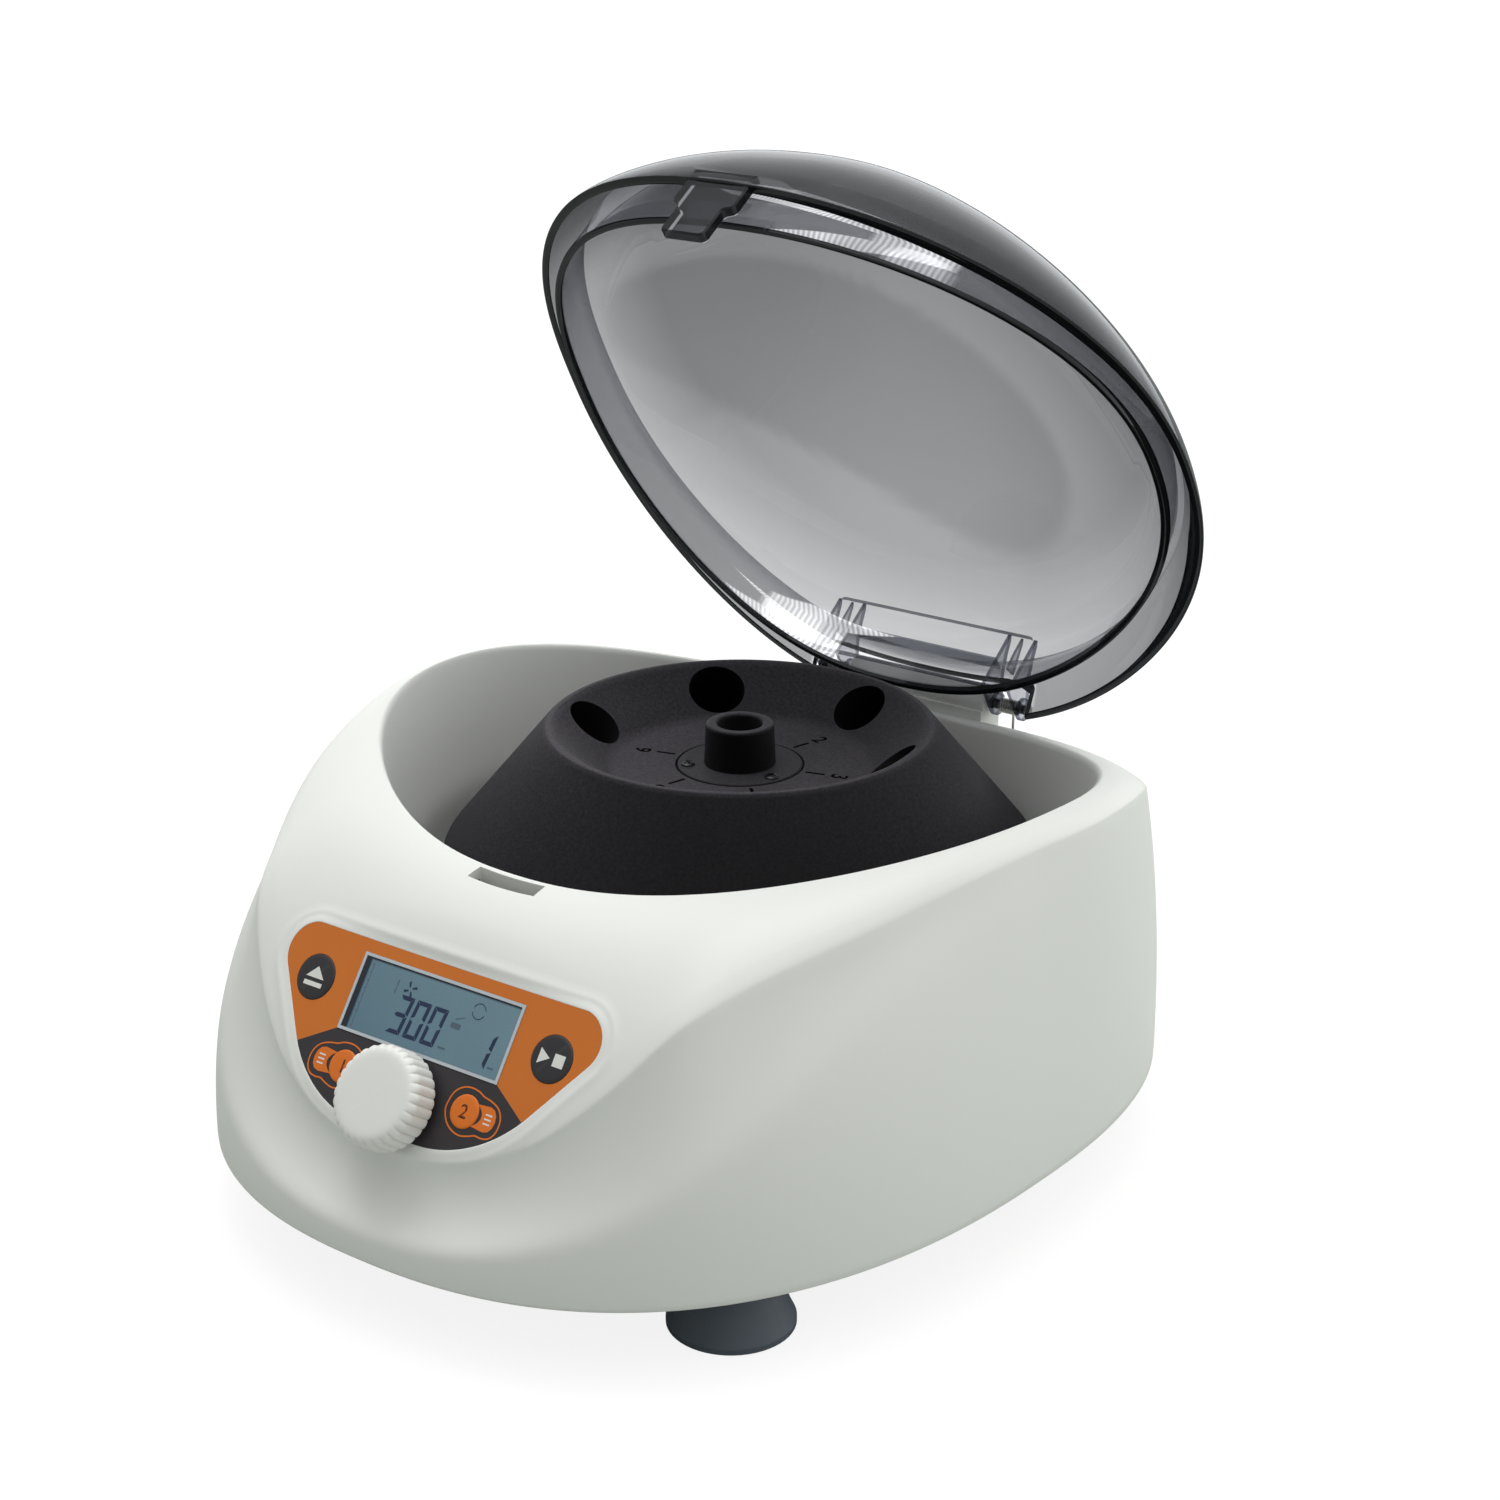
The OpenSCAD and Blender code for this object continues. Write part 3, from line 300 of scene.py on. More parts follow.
M["copper"] = surface("copper_wire", (0.60, 0.22, 0.09), 0.30, 1800, 0.00006, 0.15, 60, 0.12, metallic=1.0, stretch=(1, 1, 14))
M["brass"] = surface("brass", (0.70, 0.48, 0.17), 0.28, 1800, 0.00001, 0.08, 60, 0.12, metallic=1.0)
M["foot"] = surface("foot_rubber", (0.085, 0.104, 0.130), 0.50, 1500, 0.00003, 0.10, 25, 0.16, spec=0.45, wear=0.25, wear_col=(0.11, 0.125, 0.15))
M["rubber"] = surface("black_rubber", (0.018, 0.018, 0.019), 0.7, 1500, 0.00005, 0.15, 40, 0.12, spec=0.3)
M["blackplastic"] = surface("black_plastic", (0.020, 0.020, 0.022), 0.42, 2400, 0.00004, 0.12, 40, 0.12, wear=0.25, wear_col=(0.06, 0.06, 0.065))
M["red"] = surface("rocker_red", (0.42, 0.02, 0.018), 0.34, 2400, 0.00002, 0.08, 60, 0.1)
M["label"] = surface("label_orange", (0.74, 0.172, 0.016), 0.5, 3000, 0.00001, 0.05, 30, 0.12, spec=0.4, color_socket=label_colour)
M["orange"] = surface("key_orange", (0.74, 0.172, 0.016), 0.46, 3000, 0.000012, 0.05, 50, 0.1, spec=0.4)
M["ink"] = surface("dark_ink", (0.030, 0.026, 0.030), 0.48, 3000, 0.00001, 0.08, 50, 0.1, spec=0.35)
M["key"] = surface("key_black", (0.030, 0.027, 0.031), 0.46, 2600, 0.00003, 0.08, 50, 0.12, spec=0.4, wear=0.2, wear_col=(0.08, 0.075, 0.08))
M["print"] = surface("white_print", (0.74, 0.74, 0.72), 0.5, 2800, 0.00001, 0.04, 60, 0.1)
M["lcdframe"] = surface("lcd_frame", (0.52, 0.56, 0.60), 0.36, 2600, 0.00001, 0.06, 60, 0.1, spec=0.5)
M["dark_digit"] = surface("lcd_segment", (0.012, 0.026, 0.075), 0.35, 2000, 0.000005, 0.1, 60, 0.1)
M["dim_digit"] = surface("lcd_segment_dim", (0.085, 0.125, 0.165), 0.35, 2000, 0.000005, 0.1, 60, 0.1)
M["board"] = surface("circuit_board", (0.015, 0.11, 0.045), 0.38, 1200, 0.00003, 0.2, 90, 0.12, coat=0.2)
M["parts"] = surface("components", (0.07, 0.07, 0.075), 0.4, 1600, 0.00003, 0.25, 60, 0.14)
M["wire"] = surface("wire_jacket", (0.20, 0.03, 0.025), 0.42, 1600, 0.00002, 0.2, 60, 0.1)
M["slotwall"] = surface("slot_wall", (0.27, 0.265, 0.185), 0.6, 1800, 0.00003, 0.06, 60, 0.1)
M["engrave"] = surface("engraved_mark", (0.0022, 0.0022, 0.0026), 0.85, 2000, 0.00002, 0.2, 40, 0.1, spec=0.0)


def lcd_material():
    """Blue-grey liquid-crystal field, pale in the middle, with a painted shadow of the recess along the left and top
    edges and a faint painted diagonal sheen.
    """
    m, nt, b = mk("lcd_glass")
    tc = tex_coord(nt)
    sep = nt.nodes.new("ShaderNodeSeparateXYZ")
    nt.links.new(tc, sep.inputs[0])
    x, y, z = sep.outputs
    v = math_node(nt, "ADD",
                  math_node(nt, "MULTIPLY", math_node(nt, "SUBTRACT", y, PAN_Y * MM), math.cos(TILT)),
                  math_node(nt, "MULTIPLY", math_node(nt, "SUBTRACT", z, PAN_Z * MM), math.sin(TILT)))
    slow = noise(nt, tc, 55, 2, 0.5)
    fine = noise(nt, tc, 3200, 2, 0.5)
    # painted sheen: a diagonal band of lighter blue, standing in for a reflection on the glass
    diag = math_node(nt, "ADD", math_node(nt, "MULTIPLY", x, 18.0), math_node(nt, "MULTIPLY", v, 26.0))
    sheen = maprange(nt, math_node(nt, "SINE", math_node(nt, "ADD", diag, 0.35)), -1, 1, 0, 1)
    c = mix_col(nt, sheen, (0.088, 0.170, 0.230), (0.185, 0.290, 0.345))
    c = mix_col(nt, maprange(nt, slow, 0.3, 0.7, 0, 0.3), c, (0.125, 0.220, 0.285))
    c = mix_col(nt, maprange(nt, fine, 0.35, 0.65, 0, 0.12), c, (0.07, 0.13, 0.17))
    # painted shadow of the display recess: darker strips along the left and top edges
    left = maprange(nt, x, -0.0256, -0.0250, 1, 0)
    top = maprange(nt, v, 0.0092, 0.0097, 0, 1)
    c = mix_col(nt, math_node(nt, "MAXIMUM", left, top, True), c, (0.022, 0.030, 0.045))
    nt.links.new(c, b.inputs["Base Color"])
    b.inputs["Roughness"].default_value = 0.16
    nt.links.new(maprange(nt, fine, 0.3, 0.7, 0.13, 0.2), b.inputs["Roughness"])
    b.inputs["Specular IOR Level"].default_value = 0.35
    return m


M["lcd"] = lcd_material()
TINT = (0.560, 0.563, 0.570)
# the lid skins carry a painted tone and a painted reflection of an overhead softbox
M["smoke"] = smoke("smoke_clear", TINT, 1.04, 0.0, refl=0.36, painted_tones=True, painted_reflection=0.03)
M["smoke_edge"] = smoke("smoke_edge", (0.012, 0.013, 0.016), 1.0, 0.07, refl=0.22)
M["smoke_lip"] = smoke("smoke_lip", (0.60, 0.605, 0.63), 1.0, 0.0, painted_tones=True, painted_reflection=0.80)
M["smoke_rib"] = smoke("smoke_rib", (0.80, 0.805, 0.825), 1.0, 0.06, axis=(1.0, 0.0, 0.0), sides=4.0)
M["smoke_line"] = smoke("smoke_line", (0.58, 0.585, 0.61), 1.0, 0.10)
M["smoke_tab"] = smoke("smoke_tab", (0.52, 0.525, 0.545), 1.0, 0.0, axis=(0.0, -0.5476, 0.8367), sides=1.0)
M["smoke_part"] = smoke("smoke_part", (0.80, 0.805, 0.82), 1.0, 0.05, axis=(0.0, -0.5476, 0.8367), sides=1.6)
M["smoke_side"] = smoke("smoke_side", (0.07, 0.072, 0.082), 1.0, 0.10, refl=0.4)
# painted glint: bevel material that glows with a steady emission
M["smoke_painted_glint"] = smoke("smoke_painted_glint", (0.60, 0.61, 0.63), 1.0, 0.30, refl=0.9, glow=0.52)

# ---------------------------------------------------------------- mesh tools
def link(ob):
    scene.collection.objects.link(ob)
    return ob


def mesh_obj(name, verts, faces, mats, body, smooth=True, sharp=None, midx=None):
    me = bpy.data.meshes.new(name)
    me.from_pydata((np.asarray(verts, float) * MM).tolist(), [], [list(map(int, f)) for f in faces])
    me.update()
    if not isinstance(mats, (list, tuple)):
        mats = [mats]
    for mt in mats:
        me.materials.append(mt)
    if midx is not None:
        me.polygons.foreach_set("material_index", np.asarray(midx, np.int32))
    me.polygons.foreach_set("use_smooth", np.full(len(me.polygons), smooth))
    if smooth and sharp:
        me.set_sharp_from_angle(angle=math.radians(sharp))
    ob = link(bpy.data.objects.new(name, me))
    if body:
        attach(ob, body)
    return ob


def ring_faces(m, n, loop=False):
    f = []
    for k in range(m if loop else m - 1):
        q = (k + 1) % m
        a = np.arange(n)
        b = (a + 1) % n
        f.append(np.stack([k * n + a, k * n + b, q * n + b, q * n + a], 1))
    return np.concatenate(f)


def rings(name, rows, mats, body, loop=False, sharp=None, row_mat=None, flip=False, cap_ends=False):
    rows = np.asarray(rows, float)
    m, n = rows.shape[:2]
    f = ring_faces(m, n, loop)
    if flip:
        f = f[:, ::-1]
    faces = f.tolist()
    midx = None
    if row_mat is not None:
        midx = np.repeat(np.asarray(row_mat)[: (m if loop else m - 1)], n).tolist()
    if cap_ends:
        faces.append(list(range(n))[::-1] if not flip else list(range(n)))
        faces.append([(m - 1) * n + i for i in range(n)] if not flip else [(m - 1) * n + i for i in range(n)][::-1])
        if midx is not None:
            midx += [0, 0]
    return mesh_obj(name, rows.reshape(-1, 3), faces, mats, body, True, sharp, midx)


def revolve(profile, n=192, axis=(0, 0), z0=0.0):
    """Rows of rings from (r, z) pairs."""
    a = np.linspace(0, 2 * math.pi, n, endpoint=False)
    return np.array([[(axis[0] + r * math.cos(t), axis[1] + r * math.sin(t), z + z0) for t in a] for r, z in profile])


def soften(profile, r, closed=False, steps=4):
    """Rounds each corner of an (r, z) profile by a small arc."""
    p = [np.array(q, float) for q in profile]
    out = []
    k = len(p)
    for i in range(k):
        if not closed and i in (0, k - 1):
            out.append(p[i])
            continue
        a, b, c = p[i - 1], p[i], p[(i + 1) % k]
        la, lc = np.linalg.norm(a - b), np.linalg.norm(c - b)
        d = min(r, la * 0.45, lc * 0.45)
        s, e = b + (a - b) / la * d, b + (c - b) / lc * d
        for j in range(steps + 1):
            t = j / steps
            out.append((1 - t) ** 2 * s + 2 * t * (1 - t) * b + t * t * e)
    return [tuple(q) for q in out]


def bake(ob, mats=None):
    dg = bpy.context.evaluated_depsgraph_get()
    me = bpy.data.meshes.new_from_object(ob.evaluated_get(dg))
    ob.modifiers.clear()
    old = ob.data
    ob.data = me
    bpy.data.meshes.remove(old)
    return ob


def cut(ob, cutters, sharp=35, keep_mat=True):
    for c in cutters:
        md = ob.modifiers.new("cut", "BOOLEAN")
        md.operation = "DIFFERENCE"
        md.solver = "EXACT"
        md.object = c
    bake(ob)
    for c in cutters:
        me = c.data
        bpy.data.objects.remove(c)
        bpy.data.meshes.remove(me)
    ob.data.polygons.foreach_set("use_smooth", np.full(len(ob.data.polygons), True))
    ob.data.set_sharp_from_angle(angle=math.radians(sharp))
    return ob


def prism(name, loop, h0, h1, place, mat, body=None, sharp=30, smooth=True):
    """Closed 2D loop (u, v) carried from height h0 to h1; place(u, v, h) gives the point."""
    n = len(loop)
    vs = [place(u, v, h0) for u, v in loop] + [place(u, v, h1) for u, v in loop]
    area = sum(loop[i][0] * loop[(i + 1) % n][1] - loop[(i + 1) % n][0] * loop[i][1] for i in range(n))
    idx = list(range(n)) if area > 0 else list(range(n))[::-1]
    faces = [[i for i in idx[::-1]], [n + i for i in idx]]
    for k in range(n):
        i, j = idx[k], idx[(k + 1) % n]
        faces.append([i, j, n + j, n + i])
    return mesh_obj(name, vs, faces, mat, body, smooth, sharp)


def pan(x, v, n):
    return (x, PAN_Y + v * math.cos(TILT) - n * math.sin(TILT), PAN_Z + v * math.sin(TILT) + n * math.cos(TILT))


def flat(x, y, z):
    return (x, y, z)


def box_loop(x0, x1, y0, y1, r=0.0, n=5):
    if r <= 0:
        return [(x0, y0), (x1, y0), (x1, y1), (x0, y1)]
    out = []
    for cx, cy, a0 in ((x1 - r, y0 + r, -90), (x1 - r, y1 - r, 0), (x0 + r, y1 - r, 90), (x0 + r, y0 + r, 180)):
        for i in range(n + 1):
            a = math.radians(a0 + 90 * i / n)
            out.append((cx + r * math.cos(a), cy + r * math.sin(a)))
    return out


def circle_loop(cx, cy, r, n=48):
    return [(cx + r * math.cos(2 * math.pi * i / n), cy + r * math.sin(2 * math.pi * i / n)) for i in range(n)]


def ribbon(name, pts, width, h0, h1, place, mat, body, closed=True):
    """Thin printed or raised line along a 2D path."""
    p = np.array(pts, float)
    n = len(p)
    d = np.zeros_like(p)
    for i in range(n):
        a = p[i - 1] if (closed or i > 0) else p[i]
        b = p[(i + 1) % n] if (closed or i < n - 1) else p[i]
        t = b - a
        t /= max(np.linalg.norm(t), 1e-9)
        d[i] = (-t[1], t[0])
    o, q = p + d * width / 2, p - d * width / 2
    vs = [place(*u, h0) for u in o] + [place(*u, h0) for u in q] + [place(*u, h1) for u in o] + [place(*u, h1) for u in q]
    faces = []
    for i in range(n if closed else n - 1):
        j = (i + 1) % n
        faces += [[2 * n + i, 3 * n + i, 3 * n + j, 2 * n + j], [i, 2 * n + i, 2 * n + j, j], [n + i, n + j, 3 * n + j, 3 * n + i], [i, j, n + j, n + i]]
    if not closed:
        for i in (0, n - 1):
            faces.append([i, n + i, 3 * n + i, 2 * n + i])
    ob = mesh_obj(name, vs, faces, mat, body, False)
    import bmesh
    bm = bmesh.new()
    bm.from_mesh(ob.data)
    bmesh.ops.recalc_face_normals(bm, faces=bm.faces)
    bm.to_mesh(ob.data)
    bm.free()
    return ob


def join(name, obs, body):
    """Joins several meshes into one piece."""
    vs, fs, mats, midx, base = [], [], [], [], 0
    for o in obs:
        me = o.data
        co = np.zeros(len(me.vertices) * 3)
        me.vertices.foreach_get("co", co)
        vs.append(co.reshape(-1, 3) / MM)
        slots = []
        for mt in me.materials:
            if mt not in mats:
                mats.append(mt)
            slots.append(mats.index(mt))
        for p in me.polygons:
            fs.append([base + i for i in p.vertices])
            midx.append(slots[p.material_index] if slots else 0)
        base += len(me.vertices)
    for o in obs:
        me = o.data
        bpy.data.objects.remove(o)
        bpy.data.meshes.remove(me)
    return mesh_obj(name, np.concatenate(vs), fs, mats, body, True, 30, midx)


def spline(pts, n=12, closed=True):
    """Catmull-Rom through 2D points."""
    p = np.array(pts, float)
    k = len(p)
    out = []
    for i in range(k if closed else k - 1):
        a, b, c, d = p[(i - 1) % k if closed else max(i - 1, 0)], p[i], p[(i + 1) % k], p[(i + 2) % k if closed else min(i + 2, k - 1)]
        for j in range(n):
            t = j / n
            out.append(tuple(b + 0.5 * t * (c - a + t * (2 * a - 5 * b + 4 * c - d + t * (3 * (b - c) + d - a)))))
    if not closed:
        out.append(tuple(p[-1]))
    return out


# ---------------------------------------------------------------- shared shape laws (same as the CAD)
HUB = 102.6
LOW = 2.6
CS = np.array([.923, .918, .910, .898, .883, .856, .852, .864, .883, .914, .940, .947, .950, .956, .968, .974, .973, .970, .967])
CZ = np.array([-70, -67.5, -59, -44.5, -28.5, -20.3, -15, -10.8, -7, -4.2, -4.4, -6.2, -10, -16.4, -22.8, -26.7, -29.5, -31.8, -33])
# height share of the soft ridge that bounds the scoop below the panel
RW = np.array([.31, .335, .375, .40, .45, .58, .71, .81, .88, .93, .97, 1, 1, 1, 1, 1, 1, 1, 1])


def spow(v, p):
    return np.sign(v) * np.maximum(np.abs(v), 1e-7) ** p


def fold(t):
    u = (np.asarray(t, float) + 180) % 360 - 180
    return np.where(u > 90, 180 - u, np.where(u < -90, -180 - u, u))


def tab(v, t):
    q = (fold(t) + 90) / 10
    i = np.minimum(17, np.floor(q)).astype(int)
    f = q - i

    def g(k):
        k = np.abs(k)
        return v[np.where(k > 18, 36 - k, k)]
    a, b, c, d = g(i - 1), g(i), g(i + 1), g(i + 2)
    return b + 0.5 * f * (c - a + f * (2 * a - 5 * b + 4 * c - d + f * (3 * (b - c) + d - a)))


def plan(t, a, b, yc, k, k2, n):
    r = np.radians(t)
    X, Y = spow(np.cos(r), 2 / n), spow(np.sin(r), 2 / n)
    return a * X * (1 + k * Y + k2 * Y * Y), yc + b * Y


def sn(t, n):
    return spow(np.sin(np.radians(t)), 2 / n)


def smin(a, b, k):
    h = np.maximum(k - np.abs(a - b), 0) / k
    return np.minimum(a, b) - h * h * k / 4


def case_pt(t, s, z):
    x, y = plan(t, 124.6 * s, 142.6 * s, -27.9, .072, .039, 2.335)
    return np.stack([x, y, np.broadcast_to(z, x.shape)], -1)


def rim_z(Y):
    return HUB - 0.4 - 4.53 * Y - 17.6 * Y * Y


def rim_pt(t, g=0.0, dz=0.0):
    x, y = plan(t, 109.3 + g, 96.9 + g, -4.75, .035, -.149, 2.28)
    return np.stack([x, y, rim_z(sn(t, 2.28)) + dz], -1)


def pan_h(y):
    return PAN_Z + 2 + (y - PAN_Y) * math.tan(TILT)


def top_pt(t, u):
    r = rim_pt(t)
    c = case_pt(t, tab(CS, t), HUB + tab(CZ, t))
    u = np.broadcast_to(u, r.shape[:-1])
    xy = r[..., :2] + (c[..., :2] - r[..., :2]) * u[..., None]
    z = smin(r[..., 2] + (c[..., 2] - r[..., 2]) * u * u, pan_h(xy[..., 1]), 5)
    return np.concatenate([xy, z[..., None]], -1)


def scoop(t, w):
    wr = tab(RW, t)
    d = (fold(t) + 90) / 56
    amp = 0.037 * np.exp(-d * d)
    out = 0
    for dw, k in ((-.07, .12), (-.035, .23), (0, .30), (.035, .23), (.07, .12)):
        q = np.clip((w + dw - wr) / np.maximum(1 - wr, .05), 0, 1)
        out = out + k * 4 * q * (1 - q)
    return amp * out * np.clip((1 - w) / .06, 0, 1) ** .5 * np.clip(w / .1, 0, 1)


def side_pt(t, w):
    c = top_pt(t, 1.0)
    w = np.broadcast_to(w, c.shape[:-1])
    s = 1 - (1 - tab(CS, t)) * w ** 2.3 - scoop(t, w)
    return case_pt(t, s, LOW + (c[..., 2] - LOW) * w)


def bowl_xy(t, q, g=0.0):
    e = min(1.0, q * 1.4)
    return plan(t, 109.3 * (1 - e) + 98 * e + g, 96.9 * (1 - e) + 95.5 * e + g, -4.75 * (1 - e) - 3.4 * e,
                .035 * (1 - e), -.149 * (1 - e) - .1 * e, 2.28 - .2 * e)


FLOOR = HUB - 65


def bowl3(t, q, g=0.0, z=None, k=1.0):
    x, y = bowl_xy(t, q, g)
    r = rim_pt(t)[..., 2]
    zz = r + (FLOOR + 9 - r) * q if z is None else np.full(x.shape, z)
    return np.stack([x * k, y * k, zz], -1)


def bez(a, b, c, t):
    return (1 - t) ** 2 * a + 2 * t * (1 - t) * b + t * t * c


# ---------------------------------------------------------------- casing
TH = np.unique(np.round(np.concatenate([np.arange(-135, -45, 0.45), np.arange(-45, 225, 1.0)]), 4))


def build_housing():
    t = TH
    C = top_pt(t, 1.0)
    R0 = rim_pt(t)
    len_top = np.linalg.norm(C - R0, axis=-1)
    dw = 1.5 / (C[..., 2] - LOW)
    du = 7.0 / len_top
    rows = [case_pt(t, 0.992, LOW), case_pt(t, 0.9975, LOW + 0.15), case_pt(t, 0.9995, LOW + 0.6)]
    ws = np.linspace(0.03, 1, 46)
    for w in ws:
        rows.append(side_pt(t, w * (1 - dw)))
    A, B = side_pt(t, 1 - dw), top_pt(t, 1 - du)
    for s in np.linspace(0, 1, 9)[1:-1]:
        rows.append(bez(A, C, B, s))
    ur = 2.2 / len_top
    for u in np.linspace(1, 0, 60):
        rows.append(top_pt(t, ur + (1 - du - ur) * u))
    E = rows[-1]
    corner = rim_pt(t, 0.1, 0.15)
    q0 = 0.045
    D = bowl3(t, q0)
    for s in np.linspace(0, 1, 8)[1:]:
        rows.append(bez(E, corner, D, s))
    for q in np.linspace(q0, 1, 16)[1:]:
        rows.append(bowl3(t, q))
    for a in np.linspace(0, 90, 7)[1:]:
        k = 1 - 0.09 * (1 - math.cos(math.radians(a)))
        rows.append(bowl3(t, 1, 0, FLOOR + 9 * (1 - math.sin(math.radians(a))), k))
    rr = np.radians(t)
    for r in (60, 30, 15.4):
        rows.append(np.stack([r * np.cos(rr), r * np.sin(rr), np.full(t.shape, FLOOR + 0.0)], -1))
    rows.append(np.stack([15 * np.cos(rr), 15 * np.sin(rr), np.full(t.shape, FLOOR - 0.4)], -1))
    rows.append(np.stack([15 * np.cos(rr), 15 * np.sin(rr), np.full(t.shape, FLOOR - 2.6)], -1))
    rows.append(bowl3(t, 1, 0, FLOOR - 2.6, 0.92))
    rows.append(bowl3(t, 1, 1, FLOOR + 1, 0.985))
    for q in (1, .7, .4, .2):
        rows.append(bowl3(t, q, 2.6))
    rows.append(rim_pt(t, 3.2, -3.4))

    def inset(p, d, dz):
        c = np.array([0, -27.9])
        v = p[..., :2] - c
        L = np.linalg.norm(v, axis=-1, keepdims=True)
        dz = np.broadcast_to(dz, p.shape[:-1])
        return np.concatenate([p[..., :2] - v / L * d, (p[..., 2] - dz)[..., None]], -1)
    k = sn(t, 2.335)
    for u in (.3, .5, .68, .84, .95):
        rows.append(inset(top_pt(t, u), 1.6, np.where(k < 0, 3.2 - 1.9 * k, 3.2)))
    for w in (.9, .72, .5, .28):
        rows.append(inset(side_pt(t, w), 2.85, 3.4 if w > .8 else 0))
    rows.append(inset(case_pt(t, 0.998, LOW), 2.8, 0))
    return rings("casing_shell", rows, M["casing"], None, loop=True)


SH_R1, SH_C1, SH_R2, SH_C2 = 8.6, (46.0, 6.0), 38.8, (9.3, 6.2)


def shield(g=0.0, step=0.6):
    dx, dy = SH_C1[0] - SH_C2[0], SH_C1[1] - SH_C2[1]
    sa = math.degrees(math.atan2(dy, dx)) - math.degrees(math.acos((SH_R2 - SH_R1) / math.hypot(dx, dy)))

    def arc(c, r, a0, a1, n):
        return [(c[0] + r * math.cos(math.radians(a0 + (a1 - a0) * i / n)), c[1] + r * math.sin(math.radians(a0 + (a1 - a0) * i / n))) for i in range(n + 1)]
    pts = arc(SH_C1, SH_R1 + g, 84, sa, 24) + arc(SH_C2, SH_R2 + g, sa, -90, 24)
    top = [(0, 14.4 + g)]
    # gently bowed top edge
    e = pts[0]
    top = [(e[0] * s, 14.4 + g + (e[1] - 14.4 - g) * s * s) for s in np.linspace(0, 1, 12)[:-1]]
    loop = top + pts + [(-x, y) for x, y in pts[::-1]] + [(-x, y) for x, y in top[:0:-1]]
    # even spacing
    p = np.array(loop + [loop[0]])
    d = np.r_[0, np.cumsum(np.linalg.norm(np.diff(p, axis=0), axis=1))]
    n = int(d[-1] / step)
    s = np.linspace(0, d[-1], n, endpoint=False)
    return np.stack([np.interp(s, d, p[:, 0]), np.interp(s, d, p[:, 1])], 1)


housing = build_housing()
_hm = housing.data
_bvh = BVHTree.FromPolygons([v.co / MM for v in _hm.vertices], [list(p.vertices) for p in _hm.polygons])


def casing_n(x, v, default=1.2):
    o = Vector(pan(x, v, 60))
    d = Vector(pan(0, 0, -1)) - Vector(pan(0, 0, 0))
    hit = _bvh.ray_cast(o, d)
    return 60 - hit[3] if hit[0] is not None else default


def build_collar():
    base = shield(0.0, 0.7)
    n = len(base)
    nx = np.roll(base, -1, 0) - np.roll(base, 1, 0)
    nrm = np.stack([nx[:, 1], -nx[:, 0]], 1)
    nrm /= np.linalg.norm(nrm, axis=1, keepdims=True)
    if np.mean(np.sum(nrm * (base - base.mean(0)), 1)) < 0:
        nrm = -nrm
    for _ in range(2):
        nrm = nrm + np.roll(nrm, 1, 0) + np.roll(nrm, -1, 0)
        nrm /= np.linalg.norm(nrm, axis=1, keepdims=True)
    sds = [0.02, 0.02, 0.25, 0.6, 1.0, 1.4, 1.8, 2.2, 2.6, 3.0, 3.4, 3.8, 4.3, 4.9, 5.6, 6.4, 7.2]
    rows = []
    for k, sd in enumerate(sds):
        row = []
        for i in range(n):
            x, v = base[i] + nrm[i] * sd
            if k == 0:
                row.append(pan(x, v, -4.0))
                continue
            nc = casing_n(x, v)
            # the wall rises from the label to the casing over the first 3.1 mm, with a low rounded lip near 3.3 mm,
            # then tucks just under the casing
            b = np.clip(sd / 3.1, 0, 1)
            b = b * b * (3 - 2 * b)
            lip = 0.26 * math.exp(-((sd - 3.3) / 1.15) ** 2)
            tuck = 0.02 - 0.06 * np.clip((sd - 5.2) / 2.0, 0, 1)
            row.append(pan(x, v, (nc + lip + tuck) * b + (-0.2) * (1 - b)))
        rows.append(row)
    return rings("panel_surround", rows, M["casing"], "base", flip=True)


collar = build_collar()


def shield_cutter(g, n0, n1):
    return prism("cut_panel", [tuple(p) for p in shield(g, 1.2)], n0, n1, pan, M["casing_in"], None)


def slot_loop():
    """Slightly curved latch slot, concentric with the rim."""
    out = []
    for x in np.linspace(-11.7, 11.7, 15):
        out.append((x, -109.8 + 0.7 * (x / 11.7) ** 2))
    for x in np.linspace(11.5, -11.5, 15):
        out.append((x, -104.4 + 0.6 * (x / 11.7) ** 2))
    return out


cutters = [shield_cutter(3.1, -14, 12)]
cutters.append(prism("cut_slot", slot_loop(), HUB - 27, HUB - 8, flat, M["casing_in"], None))
cutters.append(prism("cut_hinge", [(x, z) for x, z in box_loop(-44, 44, 68, 112, 2.2)], 94.9, 126, lambda u, v, h: (-u, h, v), M["casing_in"], None))
cutters.append(prism("cut_rear", [(x, z) for x, z in box_loop(-48, 48, 5.2, 32.2, 1.5)], 96, 130, lambda u, v, h: (-u, h, v), M["casing_in"], None))
cut(housing, cutters, 38)
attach(housing, "base")
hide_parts("upper_housing")

# latch well: four thin walls below the slot
well = np.array(slot_loop())
cw = well.mean(0)
rows = []
for g, z in ((0.02, HUB - 19.2), (0.02, HUB - 25.6), (1.0, HUB - 25.6), (1.0, HUB - 22.5)):
    v = well - cw
    L = np.linalg.norm(v, axis=1, keepdims=True)
    p = well + v / L * g
    rows.append([(x, y, min(z, rim_z(-1) - 1.3) if z > HUB - 24 else z) for x, y in p])
rings("latch_well", rows, M["slotwall"], "base", loop=True, sharp=40)

# ---------------------------------------------------------------- lid
HINGE = np.array([0.0, 101.1, 85.0])
LID_OPEN = 56.8


def lid_pose(p):
    p = np.asarray(p, float)
    a = math.radians(-LID_OPEN)
    y, z = p[..., 1] - HINGE[1], p[..., 2] - HINGE[2]
    return np.stack([p[..., 0], HINGE[1] + y * math.cos(a) - z * math.sin(a), HINGE[2] + y * math.sin(a) + z * math.cos(a)], -1)


